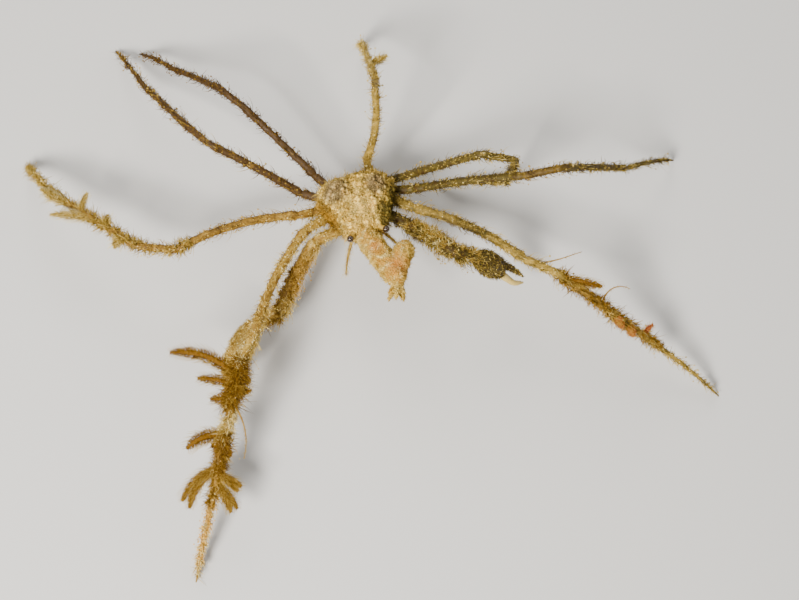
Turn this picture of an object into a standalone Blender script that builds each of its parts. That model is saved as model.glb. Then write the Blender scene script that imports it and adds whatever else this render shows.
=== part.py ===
# Long-legged spider crab with sponge and weed growing on it, life size.
# It stands on the tips of its eight walking legs and holds both claws off the floor.
# The head points along -Y, the animal's left side is +X, and the floor is z = 0.
# Sizes below are in millimetres and angles in degrees; mesh_object turns them into metres.

import math
import random
from collections import namedtuple

import bmesh
import bpy
from mathutils import Euler, Matrix, Vector

MM = 0.001
GAP = 0.3

# Stance of the body: height of its centre above the floor, and how far the head is raised.
BODY_HEIGHT = 12.5
BODY_PITCH = 16.0

# Cross sections of the body from rear to front: place along Y, half width, top, bottom.
BODY_SECTIONS = (
    (3.6, 1.9, 1.0, -1.1),
    (3.1, 3.8, 2.2, -2.2),
    (2.3, 5.2, 3.3, -3.0),
    (1.3, 6.1, 4.1, -3.6),
    (0.1, 6.5, 4.6, -3.8),
    (-1.4, 6.1, 4.7, -3.8),
    (-3.2, 5.4, 4.3, -3.6),
    (-5.0, 4.6, 3.7, -3.2),
    (-6.6, 3.8, 2.9, -2.6),
    (-7.8, 2.8, 2.1, -1.8),
)
# Corners round the body and the step along it, for the crusted back and the smooth underside.
BACK_MESH = (36, 0.65)
BREAST_MESH = (20, 1.5)
SIDE_POWER = 0.9
TOP_POWER = 0.82
# Swellings of the back: distance from the middle line, place along Y, height, spread in X and in Y.
SWELLINGS = (
    (3.5, -0.6, 0.95, 1.7, 1.8),
    (0.0, -3.6, 0.5, 1.7, 2.2),
    (0.0, 1.8, 0.25, 1.0, 1.0),
)
# The crust of sponge on the back: its mean depth, and seeded lumps of some height and spread.
CRUST_DEPTH = 0.35
LUMP_COUNT = 95
LUMP_HEIGHT = 0.55
LUMP_SPREAD = 0.85
# The seam between upper shell and breastplate rises to the rear: height at the middle and slope.
SEAM_HEIGHT = -0.1
SEAM_SLOPE = 0.18
BREAST_FRONT = -6.4
BREAST_FLAT = -3.3

# The tail flap folded under the breast: half width, ends along Y, thickness and corners.
ABDOMEN_HALF = 2.7
ABDOMEN_FRONT = -2.6
ABDOMEN_REAR = 3.3
ABDOMEN_THICK = 0.9
ABDOMEN_SIDES = 16

# The mouth plates: half width, ends along Y, slope of their bed, thickness.
MOUTH_HALF = 1.7
MOUTH_BACK = -3.3
MOUTH_FRONT = -6.6
MOUTH_SLOPE = -0.28
MOUTH_THICK = 0.9
# Their outline with a notch between the two plates: share of the half width, share of the length.
MOUTH_OUTLINE = (
    (-1, 0.25), (-0.7, 0.0), (-0.1, 0.0), (0.1, 0.0), (0.7, 0.0), (1, 0.25),
    (1, 0.75), (0.55, 1.0), (0.08, 0.92), (-0.08, 0.92), (-0.55, 1.0), (-1, 0.75),
)

# Hip places in the body's own frame, by pair: distance from the middle line, Y, Z.
HIPS = {
    1: (5.2, -4.2, -2.3),
    2: (6.6, -1.6, -1.6),
    3: (6.9, 0.3, -1.3),
    4: (5.6, 2.3, -0.9),
    5: (3.6, 3.0, -0.6),
}
HIP_DEPTH = 2.4
# Lengths of each limb's five segments, by pair, from the body outwards.
LENGTHS = {
    1: (3.6, 14.0, 4.9, 8.5, 5.6),
    2: (3.8, 22.0, 6.8, 22.7, 16.5),
    3: (3.64, 22.3, 6.7, 21.0, 15.0),
    4: (3.84, 18.5, 6.2, 18.0, 13.6),
    5: (4.2, 17.2, 5.4, 15.5, 12.2),
}
# Radii at the five segments' middles, by pair.
RADII = {
    1: (0.95, 1.05, 1.05, 2.3, 0.62),
    2: (0.88, 0.74, 0.76, 0.64, 0.48),
    3: (0.86, 0.66, 0.72, 0.58, 0.44),
    4: (0.84, 0.62, 0.68, 0.54, 0.42),
    5: (0.80, 0.60, 0.64, 0.52, 0.40),
}
CLAW_SEGMENTS = ("base", "arm", "wrist", "hand", "finger")
LEG_SEGMENTS = ("base", "merus", "carpus", "propodus", "dactyl")
TIP_RADIUS = 0.24
LIMB_SIDES = 8
KNUCKLE = 0.16
# Shares of a segment's length at which its rings stand.
LONG_SHARES = (0.0, 0.05, 0.13, 0.36, 0.64, 0.87, 0.95, 1.0)
SHORT_SHARES = (0.0, 0.16, 0.4, 0.68, 0.86, 1.0)
# How far each segment of a walking leg arches upwards, as a share of its length.
UP_BOWS = (0.0, 0.012, 0.0, 0.012, 0.07)

# The claw's palm: share of its length and of its radius there, corners round it and its flatness.
HAND_PROFILE = ((0.0, 0.5), (0.13, 0.68), (0.3, 0.95), (0.55, 1.0), (0.78, 0.92), (0.92, 0.82), (1.0, 0.76))
HAND_SIDES = 12
HAND_SQUASH = 0.8
# The two fingers: radii along them, distance of each from the palm's axis, and how the free one gapes.
FINGER_PROFILE = (1.25, 1.15, 1.0, 0.85, 0.65, 0.4)
FINGER_SPREAD = 0.95
FINGER_GAPE = 0.22
FINGER_ROOT = 1.2

# Pose of each limb: heading of each segment in the floor plane, and its rise above that plane.
# The last segment of a walking leg has no rise of its own, because its tip is set on the floor.
# The bow is how far the second segment bends to the rear, as a share of its length.
Limb = namedtuple("Limb", "name pair side bow yaws rises")
LIMBS = (
    Limb("cheliped_right", 1, -1, 0.04, (-172, -132.5, -176, -136, -110), (-4, -10, -10, -18, -38)),
    Limb("leg2_right", 2, -1, 0.042, (-160, -128.6, -128, -119, -120), (18, 14, 4, -27)),
    Limb("leg3_right", 3, -1, 0.06, (180, 183, 162, 129, 111), (10, 8, 11, -15)),
    Limb("leg4_right", 4, -1, 0.01, (150, 142, 122, 112, 108), (0, 26, -12, -37)),
    Limb("leg5_right", 5, -1, 0.0, (122, 123, 125, 125, 125), (11, 18, 3, -40)),
    Limb("cheliped_left", 1, 1, 0.02, (-46, -62, -22, -14, -28), (10, 42, -34, -58, -36)),
    Limb("leg2_left", 2, 1, 0.05, (-44, -45, -47, -44, -49), (13, 11, 22, -31)),
    Limb("leg3_left", 3, 1, 0.01, (-20, -21, -8, 7, 11), (23, 33, 12, -49)),
    Limb("leg4_left", 4, 1, 0.0, (-5, -18, -20, 90, 158), (17, 45, -18, -84)),
    Limb("leg5_left", 5, 1, -0.05, (87, 60, 75, 86, 86), (-4, 66, -46, -46)),
)

# Weed on the limbs: segment number, place along it, heading, total turn, rise, length, width.
Frond = namedtuple("Frond", "limb segment along yaw turn rise length width")
FRONDS = (
    Frond("leg2_right", 3, 0.08, 114, 62, 12, 12.5, 2.2),
    Frond("leg2_right", 3, 0.14, 138, 30, 4, 6.5, 1.7),
    Frond("leg2_right", 3, 0.24, 164, 10, 10, 3.8, 1.6),
    Frond("leg2_right", 3, 0.20, 4, -30, 8, 3.2, 1.4),
    Frond("leg2_right", 3, 0.10, -20, 0, 10, 2.6, 1.9),
    Frond("leg2_right", 3, 0.16, -34, 0, -10, 2.3, 1.8),
    Frond("leg2_right", 3, 0.52, 158, 55, 4, 7.2, 2.3),
    Frond("leg2_right", 3, 0.62, 156, 0, 6, 2.0, 2.0),
    Frond("leg2_right", 3, 0.66, -34, 0, 4, 1.8, 1.8),
    Frond("leg2_right", 3, 0.80, 181, 62, 4, 8.6, 2.6),
    Frond("leg2_right", 3, 0.84, -40, -20, 6, 4.6, 2.2),
    Frond("leg2_right", 3, 0.90, -66, -14, 2, 5.8, 2.2),
    Frond("leg2_right", 3, 0.26, -68, -50, 2, 10.6, 0.7),
    Frond("leg2_right", 3, 0.46, -14, 110, 14, 3.4, 0.6),
    Frond("leg2_right", 3, 0.62, -22, 100, 10, 3.0, 0.6),
    Frond("leg2_left", 2, 0.35, -8, 8, 14, 8.2, 0.7),
    Frond("leg2_left", 3, 0.08, -28, -6, 10, 6.4, 1.5),
    Frond("leg2_left", 3, 0.46, 78, -130, 14, 6.8, 0.9),
    Frond("leg2_left", 3, 0.60, -88, 20, 0, 2.6, 1.6),
    Frond("leg2_left", 3, 0.74, -92, 20, 0, 2.4, 1.5),
    Frond("leg2_left", 3, 0.90, 44, -30, 6, 2.6, 1.1),
    Frond("leg3_right", 3, 0.18, -140, 20, 4, 2.4, 1.8),
    Frond("leg3_right", 3, 0.34, 60, 20, 6, 2.2, 1.6),
    Frond("leg3_right", 3, 0.50, 154, 12, 4, 7.3, 1.7),
    Frond("leg3_right", 3, 0.78, 148, -20, 8, 5.2, 1.5),
    Frond("leg3_right", 3, 0.62, 66, -20, 10, 3.4, 1.3),
    Frond("leg5_left", 3, 0.45, -6, 20, 16, 3.4, 1.6),
)
FROND_THICK = 0.55
FROND_STEP = 1.1
FROND_TEETH = 0.18

# Bristle locks: thickness, width, length past the skin, and how many each segment carries.
LOCK_THICK = 0.55
LOCK_WIDTH = 1.6
LOCK_REACH = 1.35
LOCK_COUNTS = {
    "cheliped_right": (0, 13, 3, 4, 0),
    "cheliped_left": (0, 9, 3, 3, 0),
    "leg2_right": (0, 12, 5, 8, 5),
}
LOCK_COUNTS_ELSE = (0, 9, 3, 7, 2)
# Directions round the limb in which the locks stand, as angles above its side.
LOCK_TURNS = (10.0, 168.0, 38.0, 140.0)

# Sponge on the snout: a stout arm forwards, then a shorter one bent up and back to the left.
SPONGE_START = Vector((-0.4, -8.1, 0.35))
SPONGE_FORWARD = 10.6
SPONGE_YAW = -74.0
SPONGE_BACK = Vector((2.9, 3.8, 1.2))
SPONGE_RADII = (2.05, 1.7)
# Along each arm: share of its length, and share of its radius there.
NEAR_PROFILE = ((0.0, 0.74), (0.07, 0.9), (0.2, 0.98), (0.35, 1.0), (0.5, 1.03), (0.65, 1.0), (0.78, 1.0),
                (0.88, 0.9), (0.96, 0.64), (1.0, 0.3))
FAR_PROFILE = ((0.0, 0.3), (0.05, 0.7), (0.15, 0.95), (0.32, 1.0), (0.5, 0.98), (0.66, 1.02), (0.8, 0.98),
               (0.9, 0.84), (0.97, 0.58), (1.0, 0.28))
SPONGE_SIDES = 14
# A tuft of blunt points at the bend: turn from the first arm's heading, and rise; then length and width.
SPONGE_TUFT = ((-50.0, -4.0), (-34.0, 8.0), (-18.0, -6.0))
TUFT_LENGTH = 4.9
TUFT_WIDTH = 1.4

# Eyes on short stalks: radii, the stalk's root and heading, and the outline as distance and radius.
EYE_RADIUS = 0.62
STALK_RADIUS = 0.42
EYE_PLACE = Vector((2.5, -7.95, 1.4))
EYE_HEADING = (-55.0, 14.0)
EYE_OUTLINE = (
    (0.0, STALK_RADIUS), (0.45, STALK_RADIUS), (0.6, EYE_RADIUS * 0.8), (0.85, EYE_RADIUS * 0.97),
    (1.15, EYE_RADIUS), (1.45, EYE_RADIUS * 0.87), (1.7, EYE_RADIUS * 0.6), (1.86, EYE_RADIUS * 0.25),
)
EYE_SIDES = 12
EYE_SOCKET = (0.6, 0.5)
# Antennae: root, heading on each side, length, radius, steps, and how much each step turns and lifts.
ANTENNA_PLACE = Vector((2.75, -7.7, -0.7))
ANTENNA_HEADINGS = {1: (-56.0, -10.0), -1: (-124.0, -10.0)}
ANTENNA_LENGTH = 7.5
ANTENNA_RADIUS = 0.34
ANTENNA_STEPS = 7
ANTENNA_TURN = 3.0
ANTENNA_LIFT = 3.5
ANTENNA_SIDES = 6
ANTENNA_SOCKET = (0.55, 0.45)
# How far the sockets of eyes and antennae reach back into the head.
SOCKET_DEPTH = 1.4

BODY_FRAME = (Matrix.Translation((0.0, 0.0, BODY_HEIGHT))
              @ Matrix.Rotation(math.radians(-BODY_PITCH), 4, "X"))

COLOURS = {
    "shell": ((0.46, 0.37, 0.19), 0.75),
    "breast": ((0.40, 0.29, 0.13), 0.6),
    "limb": ((0.47, 0.34, 0.15), 0.6),
    "sponge": ((0.72, 0.50, 0.22), 0.85),
    "eye": ((0.10, 0.07, 0.05), 0.2),
}


# Headings and frames

def heading(yaw, rise):
    yaw, rise = math.radians(yaw), math.radians(rise)
    return Vector((math.cos(yaw) * math.cos(rise), math.sin(yaw) * math.cos(rise), math.sin(rise)))


def level_side(yaw):
    yaw = math.radians(yaw)
    return Vector((-math.sin(yaw), math.cos(yaw), 0.0))


def in_world(point):
    return BODY_FRAME @ Vector(point)


# Closed shapes, each a list of corners and a list of faces

def sweep(centres, radii, side, sides=LIMB_SIDES, first=None, last=None, squash=1.0):
    corners = []
    for index, (centre, radius) in enumerate(zip(centres, radii)):
        before = centres[max(index - 1, 0)]
        after = centres[min(index + 1, len(centres) - 1)]
        along = (after - before).normalized()
        across = (side - along * side.dot(along)).normalized()
        up = along.cross(across)
        plane = along
        if index == 0 and first is not None:
            plane = first
        if index == len(centres) - 1 and last is not None:
            plane = last
        for corner in range(sides):
            turn = math.tau * (corner + 0.5) / sides
            offset = across * (radius * math.cos(turn)) + up * (radius * squash * math.sin(turn))
            offset -= along * (offset.dot(plane) / along.dot(plane))
            corners.append(centre + offset)
    return corners, ring_faces(len(centres), sides)


def ring_faces(rings, sides):
    faces = [tuple(range(sides)), tuple(range((rings - 1) * sides, rings * sides))]
    for ring in range(rings - 1):
        for corner in range(sides):
            a = ring * sides + corner
            b = ring * sides + (corner + 1) % sides
            faces.append((a, b, b + sides))
            faces.append((a, b + sides, a + sides))
    return faces


# A bent, tapered bristle lock of diamond section, which leaves its root and then lies over.
def lock(root, out, over, length, width, lie=None):
    lie = lie or out
    middle = root + (out * 0.8 + lie * 0.2).normalized() * (length * 0.55)
    tip = middle + (out * 0.35 + lie * 0.65).normalized() * (length * 0.45)
    across = (over - out * over.dot(out)).normalized()
    normal = out.cross(across)
    corners = []
    for point, wide in ((root, width), (middle, width * 0.8)):
        corners += [point + across * (wide / 2), point + normal * (LOCK_THICK / 2),
                    point - across * (wide / 2), point - normal * (LOCK_THICK / 2)]
    corners.append(tip)
    faces = [(0, 1, 2, 3)]
    for number in range(4):
        ahead = (number + 1) % 4
        faces += [(number, ahead, 4 + ahead), (number, 4 + ahead, 4 + number), (4 + number, 4 + ahead, 8)]
    return corners, faces


# A flat blade along a path, split into triangles alike on both faces.
def blade(path, widths, thick, face):
    corners = []
    for index, (point, width) in enumerate(zip(path, widths)):
        before = path[max(index - 1, 0)]
        after = path[min(index + 1, len(path) - 1)]
        along = (after - before).normalized()
        across = face.cross(along).normalized()
        normal = along.cross(across)
        for wide, high in ((-1, -1), (1, -1), (1, 1), (-1, 1)):
            corners.append(point + across * (wide * width / 2) + normal * (high * thick / 2))
    return corners, ring_faces(len(path), 4)


# Objects from shapes

def material_for(name):
    found = bpy.data.materials.get(name)
    if found:
        return found
    colour, roughness = COLOURS[name]
    made = bpy.data.materials.new(name)
    made.use_nodes = True
    shader = made.node_tree.nodes["Principled BSDF"]
    shader.inputs["Base Color"].default_value = (*colour, 1.0)
    shader.inputs["Roughness"].default_value = roughness
    shader.inputs["Metallic"].default_value = 0.0
    return made


def mesh_object(name, shape, collection):
    corners, faces = shape
    mesh = bpy.data.meshes.new(name)
    mesh.from_pydata([tuple(corner * MM) for corner in corners], [], faces)
    work = bmesh.new()
    work.from_mesh(mesh)
    bmesh.ops.recalc_face_normals(work, faces=work.faces)
    work.to_mesh(mesh)
    work.free()
    made = bpy.data.objects.new(name, mesh)
    collection.objects.link(made)
    return made


def boolean(target, shapes, operation):
    if not shapes:
        return
    group = bpy.data.collections.new(target.name + "_pieces")
    bpy.context.scene.collection.children.link(group)
    for number, shape in enumerate(shapes):
        piece = mesh_object(f"{target.name}_piece{number}", shape, group)
        piece.hide_render = True
        piece.display_type = "WIRE"
    modifier = target.modifiers.new("join", "BOOLEAN")
    modifier.operation = operation
    modifier.operand_type = "COLLECTION"
    modifier.collection = group
    modifier.solver = "EXACT"
    modifier.use_self = operation == "UNION"
    bpy.context.view_layer.update()
    graph = bpy.context.evaluated_depsgraph_get()
    mesh = bpy.data.meshes.new_from_object(target.evaluated_get(graph))
    target.modifiers.clear()
    target.data = mesh
    for piece in list(group.objects):
        bpy.data.objects.remove(piece)
    bpy.data.collections.remove(group)


# Keeps the largest closed surface: faces that share an edge belong together.
def keep_largest(work):
    left = set(work.faces)
    largest = []
    while left:
        patch = [left.pop()]
        for face in patch:
            for edge in face.edges:
                for other in edge.link_faces:
                    if other in left:
                        left.remove(other)
                        patch.append(other)
        if len(patch) > len(largest):
            largest = patch
    keep = set(largest)
    bmesh.ops.delete(work, geom=[face for face in work.faces if face not in keep], context="FACES")


# Turns world corners into the object's own frame, so that it is placed by location and rotation.
def settle(made, placement, material):
    work = bmesh.new()
    work.from_mesh(made.data)
    keep_largest(work)
    scaled = Matrix.Translation(placement.translation * MM) @ placement.to_3x3().to_4x4()
    bmesh.ops.transform(work, matrix=scaled.inverted(), verts=work.verts)
    bmesh.ops.triangulate(work, faces=[f for f in work.faces if len(f.verts) > 4])
    work.to_mesh(made.data)
    work.free()
    made.location = scaled.translation
    made.rotation_euler = scaled.to_euler()
    made.data.materials.clear()
    made.data.materials.append(material_for(material))
    made.data.shade_smooth()
    made.data.set_sharp_from_angle(angle=math.radians(50))
    made.parent = crab


def add_node(name, shape, material, placement, extras=(), cuts=()):
    made = mesh_object(name, shape, bpy.context.scene.collection)
    boolean(made, list(extras), "UNION")
    boolean(made, list(cuts), "DIFFERENCE")
    settle(made, placement, material)
    return made


def from_body(shape):
    corners, faces = shape
    return [in_world(corner) for corner in corners], faces


# The body

def section_at(place):
    for behind, ahead in zip(BODY_SECTIONS, BODY_SECTIONS[1:]):
        if behind[0] >= place >= ahead[0]:
            share = (behind[0] - place) / (behind[0] - ahead[0])
            share = share * share * (3.0 - 2.0 * share) * 0.4 + share * 0.6
            return [low + (high - low) * share for low, high in zip(behind[1:], ahead[1:])]
    return list(BODY_SECTIONS[-1][1:])


def bare_point(place, turn):
    half, top, bottom = section_at(place)
    c, s = math.cos(turn), math.sin(turn)
    x = half * math.copysign(abs(c) ** SIDE_POWER, c)
    rise = abs(s) ** TOP_POWER
    z = top * rise if s > 0 else bottom * rise
    if s > 0:
        z += s * sum(swelling_height(x, place, *values) for values in SWELLINGS)
    return Vector((x, place, z))


def lump_centres():
    draw = random.Random(7)
    back, front = BODY_SECTIONS[0][0], BODY_SECTIONS[-1][0]
    return [bare_point(draw.uniform(front + 0.8, back), draw.uniform(0.0, math.pi))
            for _ in range(LUMP_COUNT)]


# The upper half carries the crust, which thins out towards the sides and the snout's root.
def crusted_point(place, turn, lumps):
    bare = bare_point(place, turn)
    if math.sin(turn) <= 0.0:
        return bare
    depth = CRUST_DEPTH
    for lump in lumps:
        gap = (bare - lump).length
        if gap < 2.0 * LUMP_SPREAD:
            depth = max(depth, LUMP_HEIGHT * math.exp(-(gap / LUMP_SPREAD) ** 2) * 2.0)
    fade = min(1.0, math.sin(turn) / 0.35) * min(1.0, (place - BODY_SECTIONS[-1][0]) / 1.2)
    out = Vector((bare.x * 0.6, 0.0, bare.z)).normalized()
    return bare + out * (min(depth, 1.6 * LUMP_HEIGHT) * fade)


def body_shape(mesh, lumps):
    sides, step_length = mesh
    back, front = BODY_SECTIONS[0][0], BODY_SECTIONS[-1][0]
    steps = round((back - front) / step_length)
    corners = [crusted_point(back + (front - back) * step / steps, math.tau * number / sides, lumps)
               for step in range(steps + 1) for number in range(sides)]
    return corners, ring_faces(steps + 1, sides)


def swelling_height(x, y, off, centre, height, wide, long):
    return height * math.exp(-((abs(x) - off) / wide) ** 2 - ((y - centre) / long) ** 2)


# Cuts a closed shape by planes, each a point and the direction of the side that goes.
def trimmed(shape, planes):
    corners, faces = shape
    work = bmesh.new()
    added = [work.verts.new(corner) for corner in corners]
    for face in faces:
        work.faces.new([added[number] for number in face])
    bmesh.ops.recalc_face_normals(work, faces=work.faces)
    for point, away in planes:
        bmesh.ops.bisect_plane(work, geom=work.verts[:] + work.edges[:] + work.faces[:], dist=1e-6,
                               plane_co=point, plane_no=away, clear_outer=True)
        rim = [edge for edge in work.edges if edge.is_boundary]
        bmesh.ops.holes_fill(work, edges=rim, sides=0)
    work.verts.ensure_lookup_table()
    order = {vertex: number for number, vertex in enumerate(work.verts)}
    result = ([vertex.co.copy() for vertex in work.verts],
              [tuple(order[vertex] for vertex in face.verts) for face in work.faces])
    work.free()
    return result


def seam_plane(offset, away):
    up = Vector((0.0, -SEAM_SLOPE, 1.0)).normalized()
    return Vector((0.0, 0.0, SEAM_HEIGHT)) + up * offset, up * away


def straight(start, end, radii, side, sides=LIMB_SIDES):
    centres = [start.lerp(end, number / (len(radii) - 1)) for number in range(len(radii))]
    return sweep(centres, radii, side, sides)


# A round bar on the axis of a limb's first segment, from behind the hip to past it.
def hip_bar(limb, radius, behind, past):
    hip = in_world((limb.side * HIPS[limb.pair][0], *HIPS[limb.pair][1:]))
    along = heading(limb.yaws[0], limb.rises[0])
    return straight(hip - along * behind, hip + along * past, (radius, radius), level_side(limb.yaws[0]))


def mirrored(place, side):
    return Vector((place.x * side, place.y, place.z))


def eye_way(side):
    yaw, rise = EYE_HEADING
    return heading(yaw if side > 0 else -180.0 - yaw, rise)


def add_body():
    stubs = []
    for side in (-1, 1):
        way = eye_way(side)
        root = mirrored(EYE_PLACE, side)
        stubs.append(from_body(straight(root - way * SOCKET_DEPTH, root, EYE_SOCKET, Vector((0, 0, 1)))))
        way = heading(*ANTENNA_HEADINGS[side])
        root = mirrored(ANTENNA_PLACE, side)
        stubs.append(from_body(straight(root - way * SOCKET_DEPTH, root, ANTENNA_SOCKET, Vector((0, 0, 1)))))
    wide = {limb.name: RADII[limb.pair][0] + GAP for limb in LIMBS}
    clear = [hip_bar(limb, wide[limb.name], HIP_DEPTH + 0.4, LENGTHS[limb.pair][0]) for limb in LIMBS]
    shell = trimmed(body_shape(BACK_MESH, lump_centres()), [seam_plane(GAP / 2, -1)])
    add_node("carapace", from_body(shell), "shell", BODY_FRAME, stubs, clear)
    sloped = Vector((0.0, MOUTH_SLOPE, -1.0)).normalized()
    breast = trimmed(body_shape(BREAST_MESH, []), [
        seam_plane(-GAP / 2, 1),
        (Vector((0.0, BREAST_FRONT, 0.0)), Vector((0.0, -1.0, 0.0))),
        (Vector((0.0, 0.0, BREAST_FLAT)), Vector((0.0, 0.0, -1.0))),
        (Vector((0.0, MOUTH_BACK, BREAST_FLAT)), sloped),
    ])
    hips = [hip_bar(limb, RADII[limb.pair][0], HIP_DEPTH, 0.5) for limb in LIMBS]
    faces = [hip_bar(limb, wide[limb.name], GAP / 2, LENGTHS[limb.pair][0]) for limb in LIMBS]
    add_node("sternum", from_body(breast), "breast", BODY_FRAME, hips, faces)


# A plate with a rounded rim: widest a little below its top, and narrower at its bottom.
def add_abdomen():
    top = BREAST_FLAT - GAP
    centre = (ABDOMEN_FRONT + ABDOMEN_REAR) / 2
    reach = (ABDOMEN_REAR - ABDOMEN_FRONT) / 2
    corners = []
    for level, shrink in ((top, 0.92), (top - 0.35, 1.0), (top - ABDOMEN_THICK, 0.72)):
        for number in range(ABDOMEN_SIDES):
            turn = math.tau * number / ABDOMEN_SIDES
            half = ABDOMEN_HALF * (1.0 + 0.12 * math.sin(turn))
            corners.append(Vector((half * shrink * math.cos(turn),
                                   centre + reach * shrink * math.sin(turn), level)))
    shape = corners, ring_faces(3, ABDOMEN_SIDES)
    add_node("abdomen", from_body(shape), "breast", BODY_FRAME)


def add_mouthparts():
    slope = MOUTH_SLOPE
    back = MOUTH_BACK - 0.2
    corners = []
    for drop, shrink in ((GAP, 0.9), (GAP + 0.35, 1.0), (GAP + MOUTH_THICK, 0.8)):
        for x, y in MOUTH_OUTLINE:
            place = back + (MOUTH_FRONT - MOUTH_BACK) * (0.5 + (y - 0.5) * shrink)
            level = BREAST_FLAT + slope * (place - MOUTH_BACK) - drop * math.hypot(1.0, slope)
            corners.append(Vector((MOUTH_HALF * x * shrink, place, level)))
    shape = corners, ring_faces(3, len(MOUTH_OUTLINE))
    add_node("mouthparts", from_body(shape), "breast", BODY_FRAME)


# One lumpy arm of sponge with a round end, given by shares of its length and of its thickness.
def sponge_arm(start, way, length, thick, profile, side, seed, face=None):
    centres = [start + way * (length * share) for share, _ in profile]
    radii = [thick * wide for _, wide in profile]
    corners, faces = sweep(centres, radii, side, SPONGE_SIDES, first=face)
    draw = random.Random(seed)
    last = (len(profile) - 1) * SPONGE_SIDES
    for number in range(SPONGE_SIDES, last):
        centre = centres[number // SPONGE_SIDES]
        corners[number] = centre + (corners[number] - centre) * (1.0 + draw.uniform(-0.07, 0.11))
    return corners, faces


def add_sponge():
    way = heading(SPONGE_YAW, 4.0)
    back = SPONGE_BACK.normalized()
    bend = SPONGE_START + way * SPONGE_FORWARD
    side = way.cross(back).normalized()
    near = sponge_arm(SPONGE_START, way, SPONGE_FORWARD + 1.6, SPONGE_RADII[0], NEAR_PROFILE, side, 11,
                      Vector((0.0, -1.0, 0.0)))
    far = sponge_arm(bend - way * 0.5 - back * 1.4, back, SPONGE_BACK.length + 2.6, SPONGE_RADII[1],
                     FAR_PROFILE, side, 12)
    tuft = [lock(bend + way * 0.2, way, Vector((0, 0, 1)).cross(way), TUFT_LENGTH, TUFT_WIDTH)
            for way in (heading(SPONGE_YAW + turn, rise) for turn, rise in SPONGE_TUFT)]
    add_node("sponge_lobe", from_body(near), "sponge", BODY_FRAME, [from_body(one) for one in [far, *tuft]])


def add_eyes():
    for side, word in ((-1, "right"), (1, "left")):
        way = eye_way(side)
        root = mirrored(EYE_PLACE, side) + way * GAP
        centres = [root + way * reach for reach, _ in EYE_OUTLINE]
        radii = [radius for _, radius in EYE_OUTLINE]
        shape = sweep(centres, radii, Vector((0, 0, 1)), EYE_SIDES)
        add_node("eye_" + word, from_body(shape), "eye", BODY_FRAME)


def add_antennae():
    for side, word in ((-1, "right"), (1, "left")):
        yaw, rise = ANTENNA_HEADINGS[side]
        centres = [mirrored(ANTENNA_PLACE, side) + heading(yaw, rise) * GAP]
        radii = [ANTENNA_RADIUS]
        for number in range(ANTENNA_STEPS):
            way = heading(yaw - side * ANTENNA_TURN * number, rise + ANTENNA_LIFT * number)
            centres.append(centres[-1] + way * (ANTENNA_LENGTH / ANTENNA_STEPS))
            radii.append(ANTENNA_RADIUS * (1.0 - 0.62 * (number + 1) / ANTENNA_STEPS))
        shape = sweep(centres, radii, Vector((0, 0, 1)), ANTENNA_SIDES)
        add_node("antenna_" + word, from_body(shape), "limb", BODY_FRAME)


# The limbs

def limb_joints(limb):
    points = [in_world((limb.side * HIPS[limb.pair][0], *HIPS[limb.pair][1:]))]
    ways = []
    for number, length in enumerate(LENGTHS[limb.pair]):
        if number < len(limb.rises):
            rise = limb.rises[number]
        else:
            rise = math.degrees(math.asin(-points[-1].z / length))
        ways.append((limb.yaws[number], rise))
        points.append(points[-1] + heading(limb.yaws[number], rise) * length)
    return points, ways


def cut_normal(ways, joint):
    if joint == 0:
        return heading(*ways[0])
    if joint == len(ways):
        return heading(*ways[-1])
    return (heading(*ways[joint - 1]) + heading(*ways[joint])).normalized()


# Rings near a slanted end plane stand off far enough not to cross it.
def cleared_shares(shares, length, near, far):
    inner = {min(max(share, near / length), 1.0 - far / length) for share in shares[1:-1]}
    return [0.0, *sorted(inner), 1.0]


def slant_reach(along, plane, radius):
    return radius * 1.2 * math.tan(along.angle(plane)) + 0.2


# Middle line of one segment, which ends just short of the cut planes at its two joints.
def segment_core(limb, points, ways, number, shares, near, far):
    along = heading(*ways[number])
    side = level_side(ways[number][0])
    up = along.cross(side)
    first = cut_normal(ways, number)
    last = cut_normal(ways, number + 1)
    start = points[number] + along * (GAP / 2 / along.dot(first))
    end = points[number + 1] - along * (GAP / 2 / along.dot(last))
    length = (end - start).length
    shares = cleared_shares(shares, length, slant_reach(along, first, near), slant_reach(along, last, far))
    rise = UP_BOWS[number] if limb.pair > 1 else 0.0
    bend = (up * rise + side * (limb.bow * limb.side if number == 1 else 0.0)) * length
    centres = [start.lerp(end, share) + bend * (4.0 * share * (1.0 - share)) for share in shares]
    return centres, shares, first, last


def profile_at(profile, share):
    for (low, first), (high, last) in zip(profile, profile[1:]):
        if share <= high:
            return first + (last - first) * (share - low) / (high - low)
    return profile[-1][1]


def segment_radii(shares, near, far):
    radii = []
    for share in shares:
        radius = near + (far - near) * share
        radius *= 1.0 + KNUCKLE * math.exp(-((share - 0.06) / 0.07) ** 2)
        radius *= 1.0 + KNUCKLE * math.exp(-((share - 0.94) / 0.07) ** 2)
        radii.append(radius)
    return radii


def frond_shape(frond, points, ways):
    root = points[frond.segment].lerp(points[frond.segment + 1], frond.along)
    steps = max(3, round(frond.length / FROND_STEP))
    path = [root]
    for step in range(steps):
        share = (step + 0.5) / steps
        way = heading(frond.yaw + frond.turn * share, frond.rise)
        path.append(path[-1] + way * (frond.length / steps))
    widths = []
    for step in range(steps + 1):
        share = step / steps
        taper = min(1.0, 0.5 + 1.6 * share) * (1.0 - 0.7 * max(0.0, share - 0.6) / 0.4)
        tooth = FROND_TEETH if step % 2 else -FROND_TEETH
        widths.append(max(FROND_THICK * 0.7, frond.width * taper * (1.0 + tooth)))
    return blade(path, widths, FROND_THICK, Vector((0.0, 0.0, 1.0)))


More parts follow.
